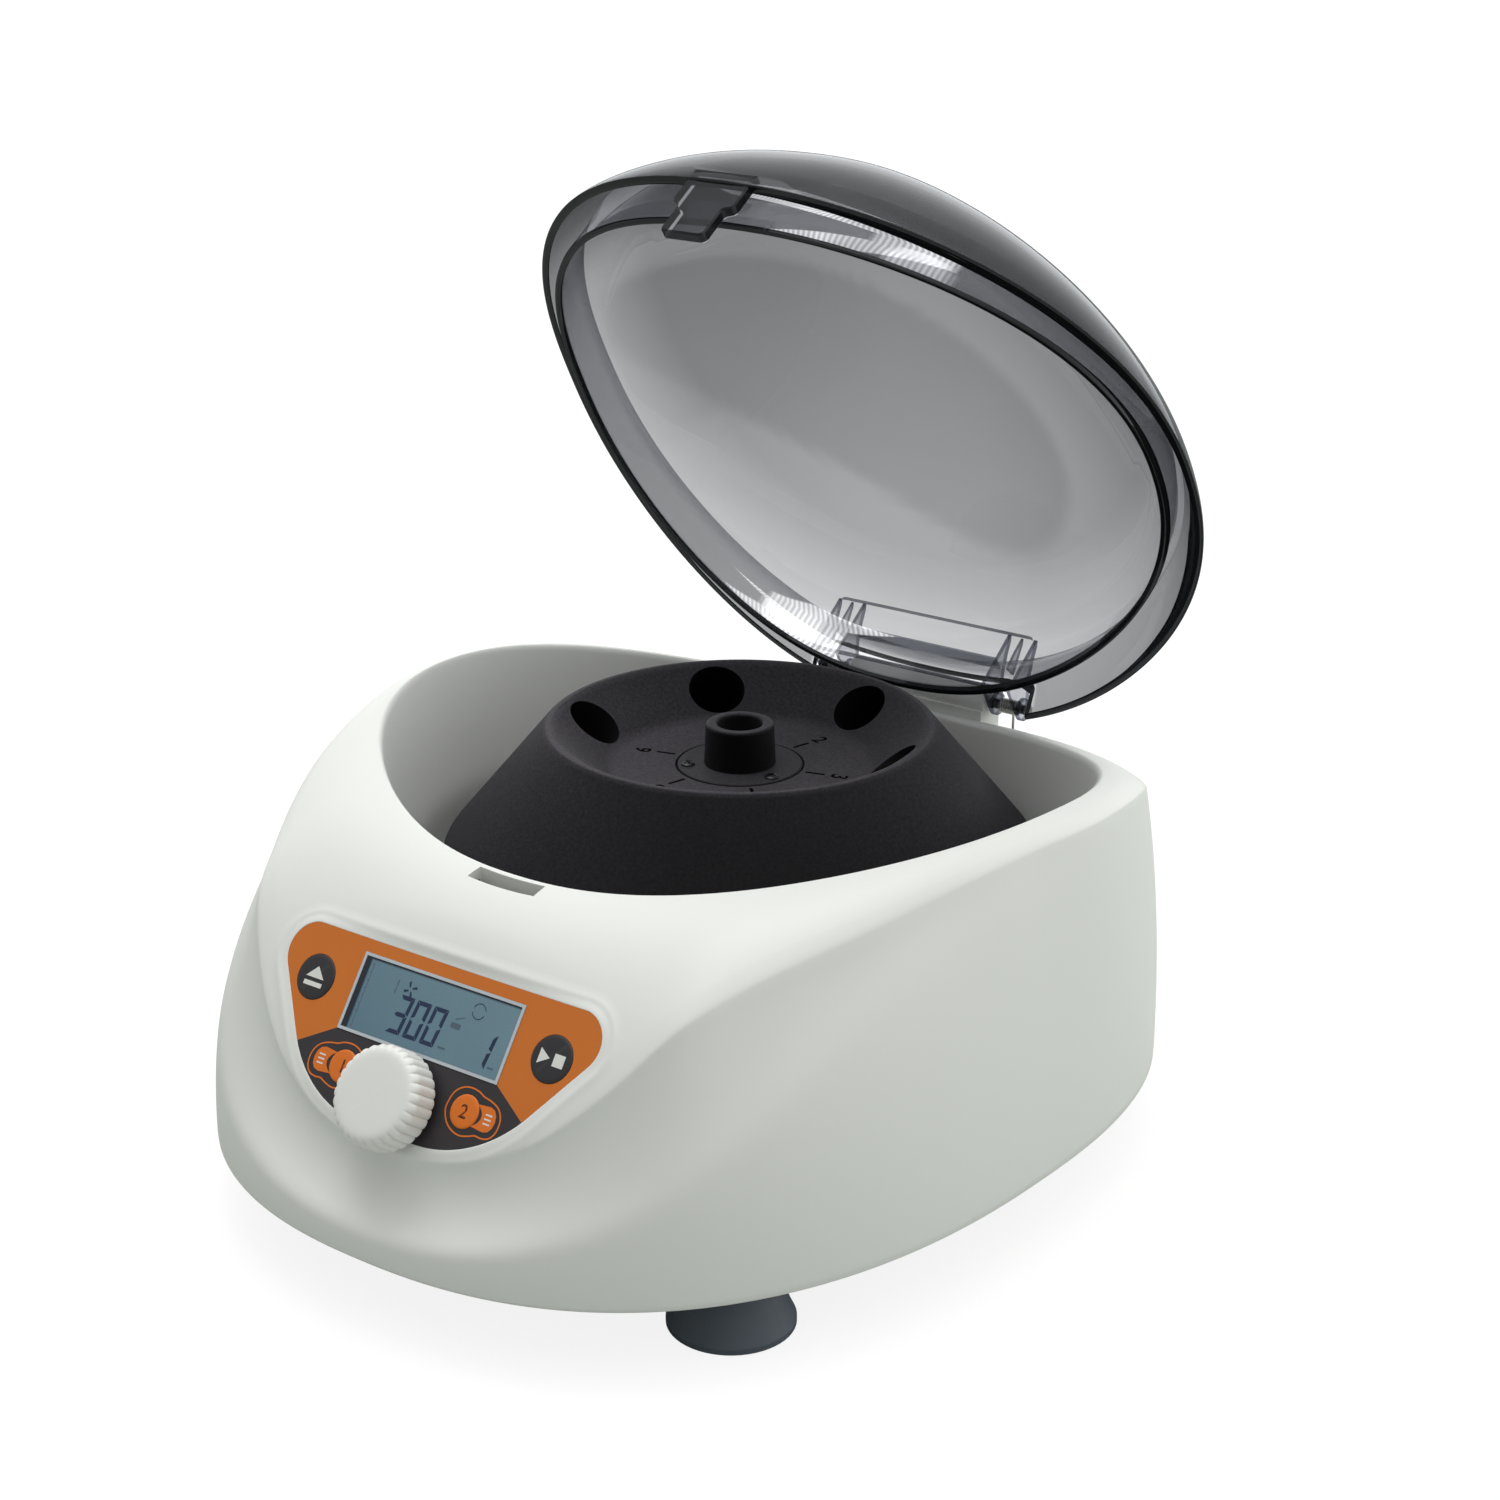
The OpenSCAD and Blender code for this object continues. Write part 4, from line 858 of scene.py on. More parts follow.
def lid_e(Y):
    return HUB + 1.4 - 5.26 * Y - 19.9 * Y * Y


def lid_pt(t, f, g=0.0):
    x, y = plan(t, 113.48 - g, 108.32 - g, -0.97, .035, -.149, 2.28)
    r, w = np.cos(np.radians(90 * f)) ** 1.036, np.sin(np.radians(90 * f)) ** 1.499
    z = lid_e(sn(t, 2.28))
    return np.stack([x * r, -35.3 + (y + 35.3) * r, z * (1 - w) + (HUB + 50.6 - g) * w], -1)


def lip_pt(t, g, dz):
    x, y = plan(t, 105.54 - g, 93.14 - g, -4.75, .035, -.149, 2.28)
    return np.stack([x, y, lid_e(sn(t, 2.28)) - 5.1 + dz], -1)


def build_lid():
    t = np.arange(-90, 270, 1.0)
    g = 2.4
    rows, rm = [], []

    painted_tone_rows = []
    Y = np.sin(np.radians(t))

    def painted_tone_of(row, f):
        """Painted tone factor on the skin's absorption, not a real wall thickness: heavier toward the front and left,
        with a heavier oval middle, so the dome's tones carry painted shade and painted reflection.
        """
        x, y = row[:, 0] + 27.0, row[:, 1] - 18.8
        u, v = x * 0.905 + y * 0.426, -x * 0.426 + y * 0.905
        d = (np.abs(u / 80.4) ** 2.4 + np.abs(v / 31.9) ** 2.4) ** (1 / 2.4)
        k = np.clip((1.06 - d) / 0.10, 0, 1)
        k = k * k * (3 - 2 * k)
        crown = np.clip((f - 0.55) / 0.4, 0, 1)
        lean = (0.39 - 0.095 * Y - 0.235 * Y * Y) * (1 - crown) + 0.30 * crown
        return 0.78 + 0.85 * lean + 0.19 * k

    def add(r, m, z=None):
        rows.append(r)
        rm.append(m)
        painted_tone_rows.append(np.full(len(t), 0.9) if z is None else z)

    # the lip band's painted reflection: lighter toward the rear left, darker toward the front right
    lip_painted_tone = 0.40 + 0.26 * np.cos(np.radians(t + 70))
    tall = (6.0 * np.exp(-(((t - 80) / 50) ** 2)))[:, None] * np.array([0, 0, 1.0])
    # the moulded rim's dark strip: widest along the right-hand side
    strip = np.interp((t + 90) % 360, [0, 15, 30, 45, 60, 75, 90, 105, 120, 135, 150, 170, 330, 345, 360],
                      [.050, .045, .040, .050, .060, .085, .185, .185, .09, .028, .016, .010, .010, .030, .050])
    for f in np.linspace(0.985, 0.44, 34):
        r = lid_pt(t, f, g)
        add(r, 0, painted_tone_of(r, f))
    q, l = lid_pt(t, 0.36, g), lip_pt(t, 2, 0)
    mid = np.concatenate([((q + l) / 2)[..., :2], q[..., 2:]], -1)
    a, b = lid_pt(t, 0.44, g), lip_pt(t, 2.2, 12) + tall
    painted_tone_a = painted_tone_of(a, 0.44)
    for s in (.2, .4, .6, .8):
        add(bez(a, mid, b, s), 0, painted_tone_a * (1 - s) + lip_painted_tone * s)
    for z in (12, 9, 6):
        add(lip_pt(t, 2.2 - 0.02 * (12 - z), z) + tall * (z / 12), 2, lip_painted_tone)
    low = 1.5 + 1.9 * np.exp(-(((t - 25) / 50) ** 2))
    lowz = low[:, None] * np.array([0, 0, 1.0])
    add(lip_pt(t, 2.05, 0.8) + lowz, 2, lip_painted_tone)
    add(lip_pt(t, 2.03, 0) + lowz, 1)
    add(lip_pt(t, 2.0, 0.5), 1)
    add(lip_pt(t, 1.5, 0.05), 1)
    add(lip_pt(t, 0.9, 0), 1)
    add(lip_pt(t, 0.2, 0.25), 1)
    add(lip_pt(t, -0.05, -0.4) + lowz, 2, lip_painted_tone)
    for z in (6, 9, 12):
        add(lip_pt(t, -0.05, z), 2, lip_painted_tone)
    for f in (0.235, 0.21):
        add(lid_pt(t, f, g), 0)
    for k in (1.06, 1.0, 0.75, 0.5, 0.25, 0.1):
        add(lid_pt(t, strip * k, g), 1 if k <= 1.0 else 0)
    inward = 2.1 * np.interp((t + 90) % 360, [0, 12, 35, 62, 88, 100, 300, 360], [.25, .55, 1, 1, .25, 0, 0, .25])
    add(lid_pt(t, 0, g + inward) + np.array([0, 0, 0.5]), 1)
    add(lid_pt(t, 0, g + inward - 0.02) + np.array([0, 0, 0.0]), 1)
    add(lid_pt(t, 0, g - 0.5) + np.array([0, 0, -0.25]), 1)
    add(lid_pt(t, 0, 0.6) + np.array([0, 0, -0.25]), 1)
    add(lid_pt(t, 0.004, 0.05) + np.array([0, 0, 0.1]), 1)
    add(lid_pt(t, 0.02), 0)
    for f in np.linspace(0.05, 0.985, 50):
        r = lid_pt(t, f)
        add(r, 0, painted_tone_of(r, f))
    rows = [lid_pose(r) for r in rows]
    ob = rings("lid_shell", rows, [M["smoke"], M["smoke_edge"], M["smoke_lip"]], None, row_mat=rm, cap_ends=True)
    n = len(t)
    painted_tone = np.concatenate(painted_tone_rows)
    at = ob.data.attributes.new("painted_tone", "FLOAT", "POINT")
    at.data.foreach_set("value", painted_tone.astype(np.float32))
    return ob


lid = build_lid()
nc = prism("cut_lid", box_loop(-41, 41, HINGE[2] - 20, HINGE[2] + 6.2, 1.0), 95, 128,
           lambda u, v, h: tuple(lid_pose((-u, h, v))), M["smoke_edge"], None)
cut(lid, [nc], 40)
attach(lid, "lid")
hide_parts("lid")


def build_bracket():
    """Hinge ribs with their eyes, two short stiffeners and the thin frame line above, all in clear smoke plastic."""
    def put(y, z, x):
        return tuple(lid_pose((x, y, HUB + z)))

    def put_bar(x, z, y):
        return tuple(lid_pose((x, y, HUB + z)))
    obs = []
    ear = [(88.9, -20.6), (99.6, -21.0), (102.3, -14.7), (95.1, -9.6), (91.2, -4.8), (88.9, -1.1), (87.4, 0.1), (87.9, -7), (88.4, -14)]
    stiff = [(88.9, -12.0), (93.6, -10.6), (91.2, -5.8), (88.9, -1.4), (87.6, -0.2), (88.0, -6)]
    for sgn in (-1, 1):
        for x, w_ in ((27.3, 1.3), (36.9, 1.3)):
            x0 = x if sgn > 0 else -x - w_
            obs.append(prism("rib", ear, x0, x0 + w_, put, M["smoke_rib"]))
            e0 = (x if x < 30 else x) if sgn > 0 else -x - 2.2
            a = np.linspace(0, 2 * math.pi, 40, endpoint=False)
            rows = []
            for rr, h in ((1.6, 0), (3.4, 0), (3.7, 0.3), (3.7, 1.9), (3.4, 2.2), (1.6, 2.2)):
                rows.append([tuple(lid_pose((e0 + h, HINGE[1] + rr * math.cos(q), HINGE[2] + rr * math.sin(q)))) for q in a])
            obs.append(rings("eye", rows, M["smoke_rib"], None, loop=True, sharp=35))
        x0 = 32.2 if sgn > 0 else -33.1
        obs.append(prism("stiff", stiff, x0, x0 + 0.9, put, M["smoke_rib"]))
    bar = [(-36.6, -0.2), (-36.2, 0.35), (-35.0, 0.6), (35.0, 0.6), (36.2, 0.35), (36.6, -0.2), (35.4, 0.0), (-35.4, 0.0)]
    obs.append(prism("bar", bar, 86.6, 87.5, put_bar, M["smoke_line"]))
    floor_ = [(-36.4, -20.4), (36.4, -20.4), (36.4, -19.4), (-36.4, -19.4)]
    obs.append(prism("foot", floor_, 88.8, 89.8, put_bar, M["smoke_line"]))
    ledge = [(-27.0, -9.2), (27.0, -9.2), (27.0, -8.6), (-27.0, -8.6)]
    obs.append(prism("ledge", ledge, 89.0, 94.2, put_bar, M["smoke_part"]))
    ob = join("hinge_bracket_clear", obs, "lid")
    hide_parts("hinge_bracket")


build_bracket()


def build_tab():
    """Stepped latch tab: clear plate with polished bevels all round that carry a painted glint."""
    half = [(10.5, -8.6), (10.5, -20.9), (9.9, -21.9), (8.0, -22.8), (7.4, -23.6), (7.4, -32.0), (7.0, -33.0), (6.0, -33.6)]
    lp = np.array([(-x, z) for x, z in half[::-1]][::-1] + [(x, z) for x, z in half[::-1]])
    n = len(lp)
    nxt, prv = np.roll(lp, -1, 0), np.roll(lp, 1, 0)
    ea, eb = lp - prv, nxt - lp
    na = np.stack([-ea[:, 1], ea[:, 0]], -1) / np.linalg.norm(ea, axis=1, keepdims=True)
    nb = np.stack([-eb[:, 1], eb[:, 0]], -1) / np.linalg.norm(eb, axis=1, keepdims=True)
    bi = na + nb
    bi = bi / np.maximum(np.einsum("ij,ij->i", bi, na)[:, None], 0.35)
    area = np.sum(lp[:, 0] * nxt[:, 1] - nxt[:, 0] * lp[:, 1])
    bi = bi if area > 0 else -bi
    rows = []
    for g, y in ((0.55, -105.0), (0.0, -105.55), (0.0, -108.0), (0.5, -108.5)):
        q = lp + bi * g
        rows.append([tuple(lid_pose((x, y, HUB + z))) for x, z in q])
    ob = rings("latch_tab_clear", rows, [M["smoke_tab"], M["smoke_painted_glint"], M["smoke_side"]], None, row_mat=[1, 2, 2, 0], cap_ends=True, sharp=25)
    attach(ob, "lid")
    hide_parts("latch_tab")


build_tab()

# ---------------------------------------------------------------- knob
def build_knob():
    R, ribs, sub = 13.9, 30, 12
    n = ribs * sub
    a = np.linspace(0, 2 * math.pi, n, endpoint=False)
    scal = np.sqrt(np.abs(np.cos(a * ribs / 2)))

    def ring(r, h, depth):
        rr = r - depth * (1 - scal)
        return [pan(x, -24.1 + v, h) for x, v in zip(rr * np.cos(a), rr * np.sin(a))]
    rows = [ring(3.2, 7.0, 0), ring(3.2, 1.6, 0), ring(R - 1.6, 1.6, 0), ring(R - 0.9, 1.7, 0.2), ring(R - 0.25, 2.1, 0.5)]
    for h in np.linspace(2.5, 8.6, 8):
        rows.append(ring(R - 0.01 - 0.02 * (h - 2.5), h, 0.82))
    for dr, h, d in ((.22, 9.2, .78), (.62, 9.85, .62), (1.15, 10.4, .40), (1.75, 10.78, .18), (2.4, 11.0, .05), (3.2, 11.12, 0)):
        rows.append(ring(R - dr, h, d))
    for r in (9.4, 8.0, 5.5, 3, 1, 0.05):
        rows.append(ring(r, 11.16 + 0.04 * (1 - (r / 10) ** 2), 0))
    return rings("knob_cap", rows, M["knob"], "knob", flip=False, sharp=55)


knob = build_knob()
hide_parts("knob")

# ---------------------------------------------------------------- keys, label print and display
def disc(name, cx, cv, r, mat, body, n0, n1, dome=0.12, dish=0.0):
    prof = soften([(0.02, n1 + dome - dish), (r * 0.5, n1 + dome - dish * 0.6), (r * 0.86, n1 + dome * 0.6), (r, n1 - 0.1), (r, n0), (0.02, n0)], 0.3)
    a = np.linspace(0, 2 * math.pi, 96, endpoint=False)
    rows = [[pan(cx + rr * math.cos(t), cv + rr * math.sin(t), h) for t in a] for rr, h in prof]
    return rings(name, rows, mat, body, flip=True, sharp=50)


H0, H1 = 0.06, 0.17
k1 = disc("open_key_cap", -41.7, 0, 6.4, M["key"], "open_key", -4.0, 0.05)
k2 = disc("start_key_cap", 41.7, 0, 6.4, M["key"], "start_key", -4.0, 0.05)
k3 = disc("program_key_1_cap", -21.6, -20.1, 4.6, M["orange"], "program_key_1", -4.0, 0.05)
k4 = disc("program_key_2_cap", 21.6, -20.1, 4.6, M["orange"], "program_key_2", -4.0, 0.05)
for ob, nd in ((k1, "open_key"), (k2, "start_key"), (k3, "program_key_1"), (k4, "program_key_2")):
    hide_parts(nd)


def icon(name, loops, body, mat, off=(0, 0), h0=H0, h1=H1):
    obs = [prism(name + str(i), [(u + off[0], v + off[1]) for u, v in lp], h0, h1, pan, mat, None) for i, lp in enumerate(loops)]
    return join(name, obs, body)


# eject-style mark on the lid key, play and stop marks on the start key
icon("open_key_mark", [[(-3.2, 0.0), (3.2, 0.0), (0.0, 3.3)], [(-3.2, -2.4), (3.2, -2.4), (3.2, -1.1), (-3.2, -1.1)]], "open_key", M["print"], (-41.7, -0.4), 0.10, 0.24)
icon("start_key_mark", [[(-4.0, -2.1), (-0.5, 0.0), (-4.0, 2.1)], [(0.8, -1.7), (4.2, -1.7), (4.2, 1.7), (0.8, 1.7)]], "start_key", M["print"], (41.7, 0), 0.10, 0.24)


def text_mesh(name, s, size, place, body, mat, h0, h1, rot=0.0, off=(0, 0), slant=0.0):
    cu = bpy.data.curves.new(name + "_c", "FONT")
    cu.body = s
    cu.size = size
    cu.align_x, cu.align_y = "CENTER", "CENTER"
    cu.extrude = 0.5
    cu.offset = size * 0.012
    cu.resolution_u = 4
    tmp = link(bpy.data.objects.new(name + "_t", cu))
    bpy.context.view_layer.update()
    dg = bpy.context.evaluated_depsgraph_get()
    me = bpy.data.meshes.new_from_object(tmp.evaluated_get(dg))
    vs = np.array([v.co for v in me.vertices], float).reshape(-1, 3)
    fs = [list(p.vertices) for p in me.polygons]
    bpy.data.objects.remove(tmp)
    bpy.data.meshes.remove(me)
    c, sn_ = math.cos(rot), math.sin(rot)
    # centre on the ink's own box
    mid = (vs[:, :2].min(0) + vs[:, :2].max(0)) / 2
    out = []
    for x, y, z in vs:
        x, y = x - mid[0], y - mid[1]
        x += slant * y
        u, v = x * c - y * sn_ + off[0], x * sn_ + y * c + off[1]
        out.append(place(u, v, h1 if z > 0 else h0))
    return mesh_obj(name, out, fs, mat, body, False)


text_mesh("program_key_1_number", "1", 5.2, pan, "program_key_1", M["ink"], H0, H1, off=(-21.4, -20.1))
text_mesh("program_key_2_number", "2", 5.2, pan, "program_key_2", M["ink"], H0, H1, off=(21.6, -20.1))

# outline, lobe and bar mark beside each programme key
OUT = [(15.6, -21.3), (15.6, -18.6), (16.6, -15.9), (18.6, -14.3), (21.2, -13.7), (23.9, -14.0), (26.0, -14.8), (28.6, -15.3), (31.2, -16.3), (32.9, -18.1),
       (33.5, -20.4), (33.1, -22.9), (31.6, -24.6), (29.4, -25.1), (27.4, -25.0), (25.4, -25.7), (22.8, -26.3), (20.0, -25.8), (17.4, -24.2)]
for s, nm in ((-1, "left"), (1, "right")):
    pts = spline([(s * x, v) for x, v in OUT], 8)
    ribbon("program_outline_" + nm, pts, 0.42, -0.2, -0.14, pan, M["orange"], "base")
    lobe = []
    for k in range(21):
        a = math.radians(-57 + 114 * k / 20)
        lobe.append((s * (21.6 + 5.75 * math.cos(a)), -20.1 + 5.75 * math.sin(a) * 0.62))
    lobe = [p for p in lobe]
    outer = [(s * 29.2, -16.7), (s * 30.7, -17.2), (s * 31.7, -18.5), (s * 32.0, -20.2), (s * 31.7, -21.9), (s * 30.7, -23.1), (s * 29.2, -23.5)]
    lp = lobe + outer
    icon("program_lobe_" + nm, [lp], "base", M["orange"], (0, 0), -0.2, -0.13)
    bars = [box_loop(s * 29.5 - 1.1, s * 29.5 + 1.1, v - 0.22, v + 0.22, 0.1) for v in (-18.9, -20.1, -21.3)]
    icon("program_mark_" + nm, bars, "base", M["print"], (0, 0), -0.14, -0.09)

# display segments
def seg_digit(cx, cv, w, h, th, on, slant=0.16):
    g = 0.12
    segs = {}
    x0, x1, y0, ym, y1 = -w / 2, w / 2, -h / 2, 0, h / 2
    segs["a"] = [(x0 + g, y1), (x1 - g, y1), (x1 - th, y1 - th), (x0 + th, y1 - th)]
    segs["d"] = [(x0 + g, y0), (x0 + th, y0 + th), (x1 - th, y0 + th), (x1 - g, y0)]
    segs["g"] = [(x0 + g + th * .3, ym), (x0 + th, ym + th / 2), (x1 - th, ym + th / 2), (x1 - g - th * .3, ym), (x1 - th, ym - th / 2), (x0 + th, ym - th / 2)]
    segs["f"] = [(x0, y1 - g), (x0 + th, y1 - th - g), (x0 + th, ym + th / 2 + g), (x0, ym + g)]
    segs["b"] = [(x1, y1 - g), (x1, ym + g), (x1 - th, ym + th / 2 + g), (x1 - th, y1 - th - g)]
    segs["e"] = [(x0, y0 + g), (x0, ym - g), (x0 + th, ym - th / 2 - g), (x0 + th, y0 + th + g)]
    segs["c"] = [(x1, y0 + g), (x1 - th, y0 + th + g), (x1 - th, ym - th / 2 - g), (x1, ym - g)]
    return [[(cx + x + slant * y, cv + y) for x, y in segs[k]] for k in on]


DG0, DG1 = -0.1, -0.06
dig = seg_digit(-9.6, -2.2, 4.9, 10.6, 1.15, "abcdg", 0.10)
icon("display_digit_left", dig, "base", M["dark_digit"], (0, 0), DG0, DG1)
icon("display_digits_mid", seg_digit(-3.6, -2.2, 4.9, 10.6, 1.15, "abcdef", 0.10) + seg_digit(2.4, -2.2, 4.9, 10.6, 1.15, "abcdef", 0.10), "base", M["dark_digit"], (0, 0), DG0, DG1)
icon("display_digit_right", seg_digit(20.6, -3.6, 4.6, 9.6, 1.15, "bc", 0.10), "base", M["dark_digit"], (0, 0), DG0, DG1)
icon("display_small_marks", [box_loop(7.4, 10.6, -0.9, 0.6), [(8.2, 1.4), (11.0, 2.5), (11.0, 2.8), (8.2, 1.7)], box_loop(5.8, 8.4, -7.0, -6.5), box_loop(23.4, 25.4, -7.8, -7.3)], "base", M["dim_digit"], (0, 0), DG0, DG1)
icon("display_small_one", seg_digit(-15.2, 4.6, 2.4, 4.2, 0.34, "bc", 0.05), "base", M["dim_digit"], (0, 0), DG0, DG1)
fan = []
for k in range(4):
    a = math.radians(90 * k + 20)
    p0 = (-9.4 + 0.5 * math.cos(a), 5.0 + 0.5 * math.sin(a))
    fan.append([p0, (-9.4 + 2.2 * math.cos(a - .12), 5.0 + 2.2 * math.sin(a - .12)), (-9.4 + 2.2 * math.cos(a + .22), 5.0 + 2.2 * math.sin(a + .22)), (-9.4 + 0.9 * math.cos(a + .5), 5.0 + 0.9 * math.sin(a + .5))])
icon("display_fan_mark", fan, "base", M["dark_digit"], (0, 0), DG0, DG1)
for k, (a0, a1) in enumerate(((15, 160), (195, 340))):
    pts = [(14.6 + 2.1 * math.cos(math.radians(a)), 5.4 + 2.1 * math.sin(math.radians(a))) for a in np.linspace(a0, a1, 16)]
    ribbon("display_turn_mark_%d" % (k + 1), pts, 0.22, DG0, DG1, pan, M["dark_digit"], "base", closed=False)
ticks = [box_loop(-24.6, -24.1, v - 0.12, v + 0.12) for v in np.linspace(-9.2, 8.2, 9)] + [box_loop(-24.1, -23.98, -9.6, 8.8)]
icon("display_scale", ticks, "base", M["dim_digit"], (0, 0), DG0, DG1)

# ---------------------------------------------------------------- rotor
def build_rotor():
    prof = [(10.4, HUB - 20), (10.4, HUB - 14.4), (19.2, HUB - 14.4), (19.2, HUB - 13), (38.4, HUB - 13), (54.6, HUB - 0.8), (56.2, HUB), (57.6, HUB), (58.5, HUB - 0.8),
            (89.5, HUB - 38), (89.5, HUB - 46), (86.5, HUB - 52), (78, HUB - 59.2), (74, HUB - 60), (64, HUB - 60), (60, HUB - 56), (34, HUB - 20)]
    sm = []
    k = len(prof)
    for i in range(k):
        a, b, c = (np.array(prof[j % k], float) for j in (i - 1, i, i + 1))
        la, lc = np.linalg.norm(a - b), np.linalg.norm(c - b)
        r = {4: 3.0, 5: 1.0, 8: 1.2, 9: 2.6, 10: 2.6}.get(i, 0.35)
        d = min(r, la * .45, lc * .45)
        s, e = b + (a - b) / la * d, b + (c - b) / lc * d
        for j in range(5):
            sm.append(tuple(bez(s, b, e, j / 4)))
    rows = revolve(sm, 288)
    return rings("rotor_casting", rows, [M["rotor"], M["pocket"]], None, loop=True, flip=True)


def pocket_frame(i):
    """Matrix of pocket i: local +Z runs out of the mouth, downwards and outwards at the CAD's tilt."""
    a = math.radians(75 + 60 * i)
    return Matrix.Rotation(a, 4, "Z") @ Matrix.Translation((48.45, 0, HUB - 7.85)) @ Matrix.Rotation(math.radians(180 - 38), 4, "Y")


def tube_cut(i, r, z0, z1, r1=None):
    m = pocket_frame(i)
    n = 96
    vs, out = [], []
    for z, rr in ((z0, r if r1 is None else r1), (z1, r)):
        for k in range(n):
            a = 2 * math.pi * k / n
            vs.append(tuple(m @ Vector((rr * math.cos(a), rr * math.sin(a), z))))
    faces = [list(range(n))[::-1], [n + k for k in range(n)]] + [[k, (k + 1) % n, n + (k + 1) % n, n + k] for k in range(n)]
    return mesh_obj("cut_tube_%d_%d" % (i, int(r * 10)), vs, faces, M["pocket"], None)


rotor = build_rotor()
rotor.data.materials.clear()
rotor.data.materials.append(M["rotor"])
rotor.data.materials.append(M["pocket"])
cut(rotor, [tube_cut(i, 8.75, -22, 50) for i in range(6)], 32)
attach(rotor, "rotor")
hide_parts("rotor_body")

hub_prof = [(4.05, HUB - 34), (10.35, HUB - 34), (10.35, HUB - 14.4), (18.85, HUB - 14.4), (18.85, HUB - 13.2), (18.4, HUB - 12.75), (10.7, HUB - 12.6), (10.15, HUB - 0.6),
            (9.6, HUB), (7.3, HUB), (6.7, HUB - 0.6), (6.7, HUB - 10), (4.05, HUB - 10)]
hub = rings("rotor_hub_turning", revolve(soften(hub_prof, 0.35, True), 160), M["hub"], "rotor", loop=True, flip=True, sharp=40)
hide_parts("rotor_hub")

screws = []
for i, a in enumerate((103, 223, 343)):
    c = (15.6 * math.cos(math.radians(a)), 15.6 * math.sin(math.radians(a)))
    prof = [(0.02, HUB - 11.75), (1.0, HUB - 11.8), (1.75, HUB - 12.0), (2.1, HUB - 12.35), (2.1, HUB - 12.6), (1.28, HUB - 12.6), (1.28, HUB - 21), (0.02, HUB - 21)]
    s = rings("hub_screw_%d" % (i + 1), revolve(prof, 40, c), M["blacksteel"], None, cap_ends=True, flip=True, sharp=40)
    cs = []
    for b in (20, 110):
        ca, sa_ = math.cos(math.radians(a + b)), math.sin(math.radians(a + b))
        lp = [(c[0] + x * ca - y * sa_, c[1] + x * sa_ + y * ca) for x, y in box_loop(-1.35, 1.35, -0.24, 0.24)]
        cs.append(prism("cut_cross", lp, HUB - 12.4, HUB - 11, flat, M["blacksteel"], None))
    cut(s, cs, 35)
    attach(s, "rotor")
    if i == 0:
        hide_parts("hub_screws")

for i, s in enumerate(("3", "2", "1", "6", "5", "4")):
    a = math.radians(15 + 60 * i)
    lp = [(r * math.cos(a) - w * math.sin(a), r * math.sin(a) + w * math.cos(a)) for r, w in ((20.8, -.5), (26.8, -.5), (26.8, .5), (20.8, .5))]
    prism("rotor_tick_" + s, lp, HUB - 13.05, HUB - 12.97, flat, M["engrave"], "rotor")
    text_mesh("rotor_number_" + s, s, 7.2, flat, "rotor", M["engrave"], HUB - 13.05, HUB - 12.97, rot=a - math.pi / 2, off=(31.4 * math.cos(a), 31.4 * math.sin(a)))

# ---------------------------------------------------------------- materials for the CAD nodes that stay
KEEP = {
    "base_tray": "tray", "suction_feet": "foot", "foot_screws": "steel", "tray_screws": "steel", "rear_panel": "tray",
    "power_inlet": "blackplastic", "inlet_pins": "brass", "switch_body": "blackplastic", "power_rocker": "red",
    "control_carrier": "casing_in", "panel_label": "label", "lcd_frame": "lcdframe", "lcd_glass": "lcd", "control_board": "board",
    "key_switches": "parts", "board_screws": "steel", "encoder_body": "motor", "encoder_plunger": "print", "encoder_shaft": "steel",
    "hinge_block": "casing", "hinge_screws": "steel", "hinge_pin": "steel", "torsion_springs": "springsteel",
    "hinge_bracket": "smoke_part", "latch_bolt": "steel", "solenoid_body": "blackplastic",
    "bolt_spring": "springsteel", "lid_sensor": "board", "rotor_nut": "steel", "motor_shaft": "steel", "motor_magnet": "magnet",
    "bearing_lower": "steel", "bearing_upper": "steel", "motor_can": "motor", "motor_cover": "motor", "motor_windings": "copper",
    "motor_plate": "motor", "dampers": "rubber", "damper_screws": "steel", "spindle_boot": "rubber", "speed_sensor": "board",
    "power_board": "board", "board_parts": "parts", "wiring_harness": "wire",
}
BEVEL = {"base_tray": 0.5, "rear_panel": 0.4, "power_inlet": 0.5, "switch_body": 0.4, "power_rocker": 0.35, "hinge_block": 0.6,
         "latch_tab": 0.30, "hinge_bracket": 0.22, "lcd_frame": 0.12, "board_parts": 0.4}
for nm, key in KEEP.items():
    o = NODES[nm]
    o.data.materials.clear()
    o.data.materials.append(M[key])
    o.data.polygons.foreach_set("use_smooth", np.full(len(o.data.polygons), True))
    o.data.polygons.foreach_set("material_index", np.zeros(len(o.data.polygons), np.int32))
    o.data.set_sharp_from_angle(angle=math.radians(32))
    if nm in BEVEL:
        md = o.modifiers.new("soft_edges", "BEVEL")
        md.width = BEVEL[nm] * MM
        md.segments = 2
        md.limit_method = "ANGLE"
        md.angle_limit = math.radians(40)
        md.harden_normals = False
        # bevel faces take the painted glint material
        if key in ("smoke_tab", "smoke_part"):
            o.data.materials.append(M["smoke_painted_glint"])
            md.material = 1

# ---------------------------------------------------------------- stage, light and camera
FLOOR_Z = -17.4 * MM


def stage_mat(name, col, rough):
    m, nt, b = mk(name)
    tc = tex_coord(nt)
    c = mix_col(nt, noise(nt, tc, 3, 2, 0.5), shade(col, 0.995), shade(col, 1.005))
    nt.links.new(c, b.inputs["Base Color"])
    b.inputs["Roughness"].default_value = rough
    b.inputs["Specular IOR Level"].default_value = 0.2
    return m


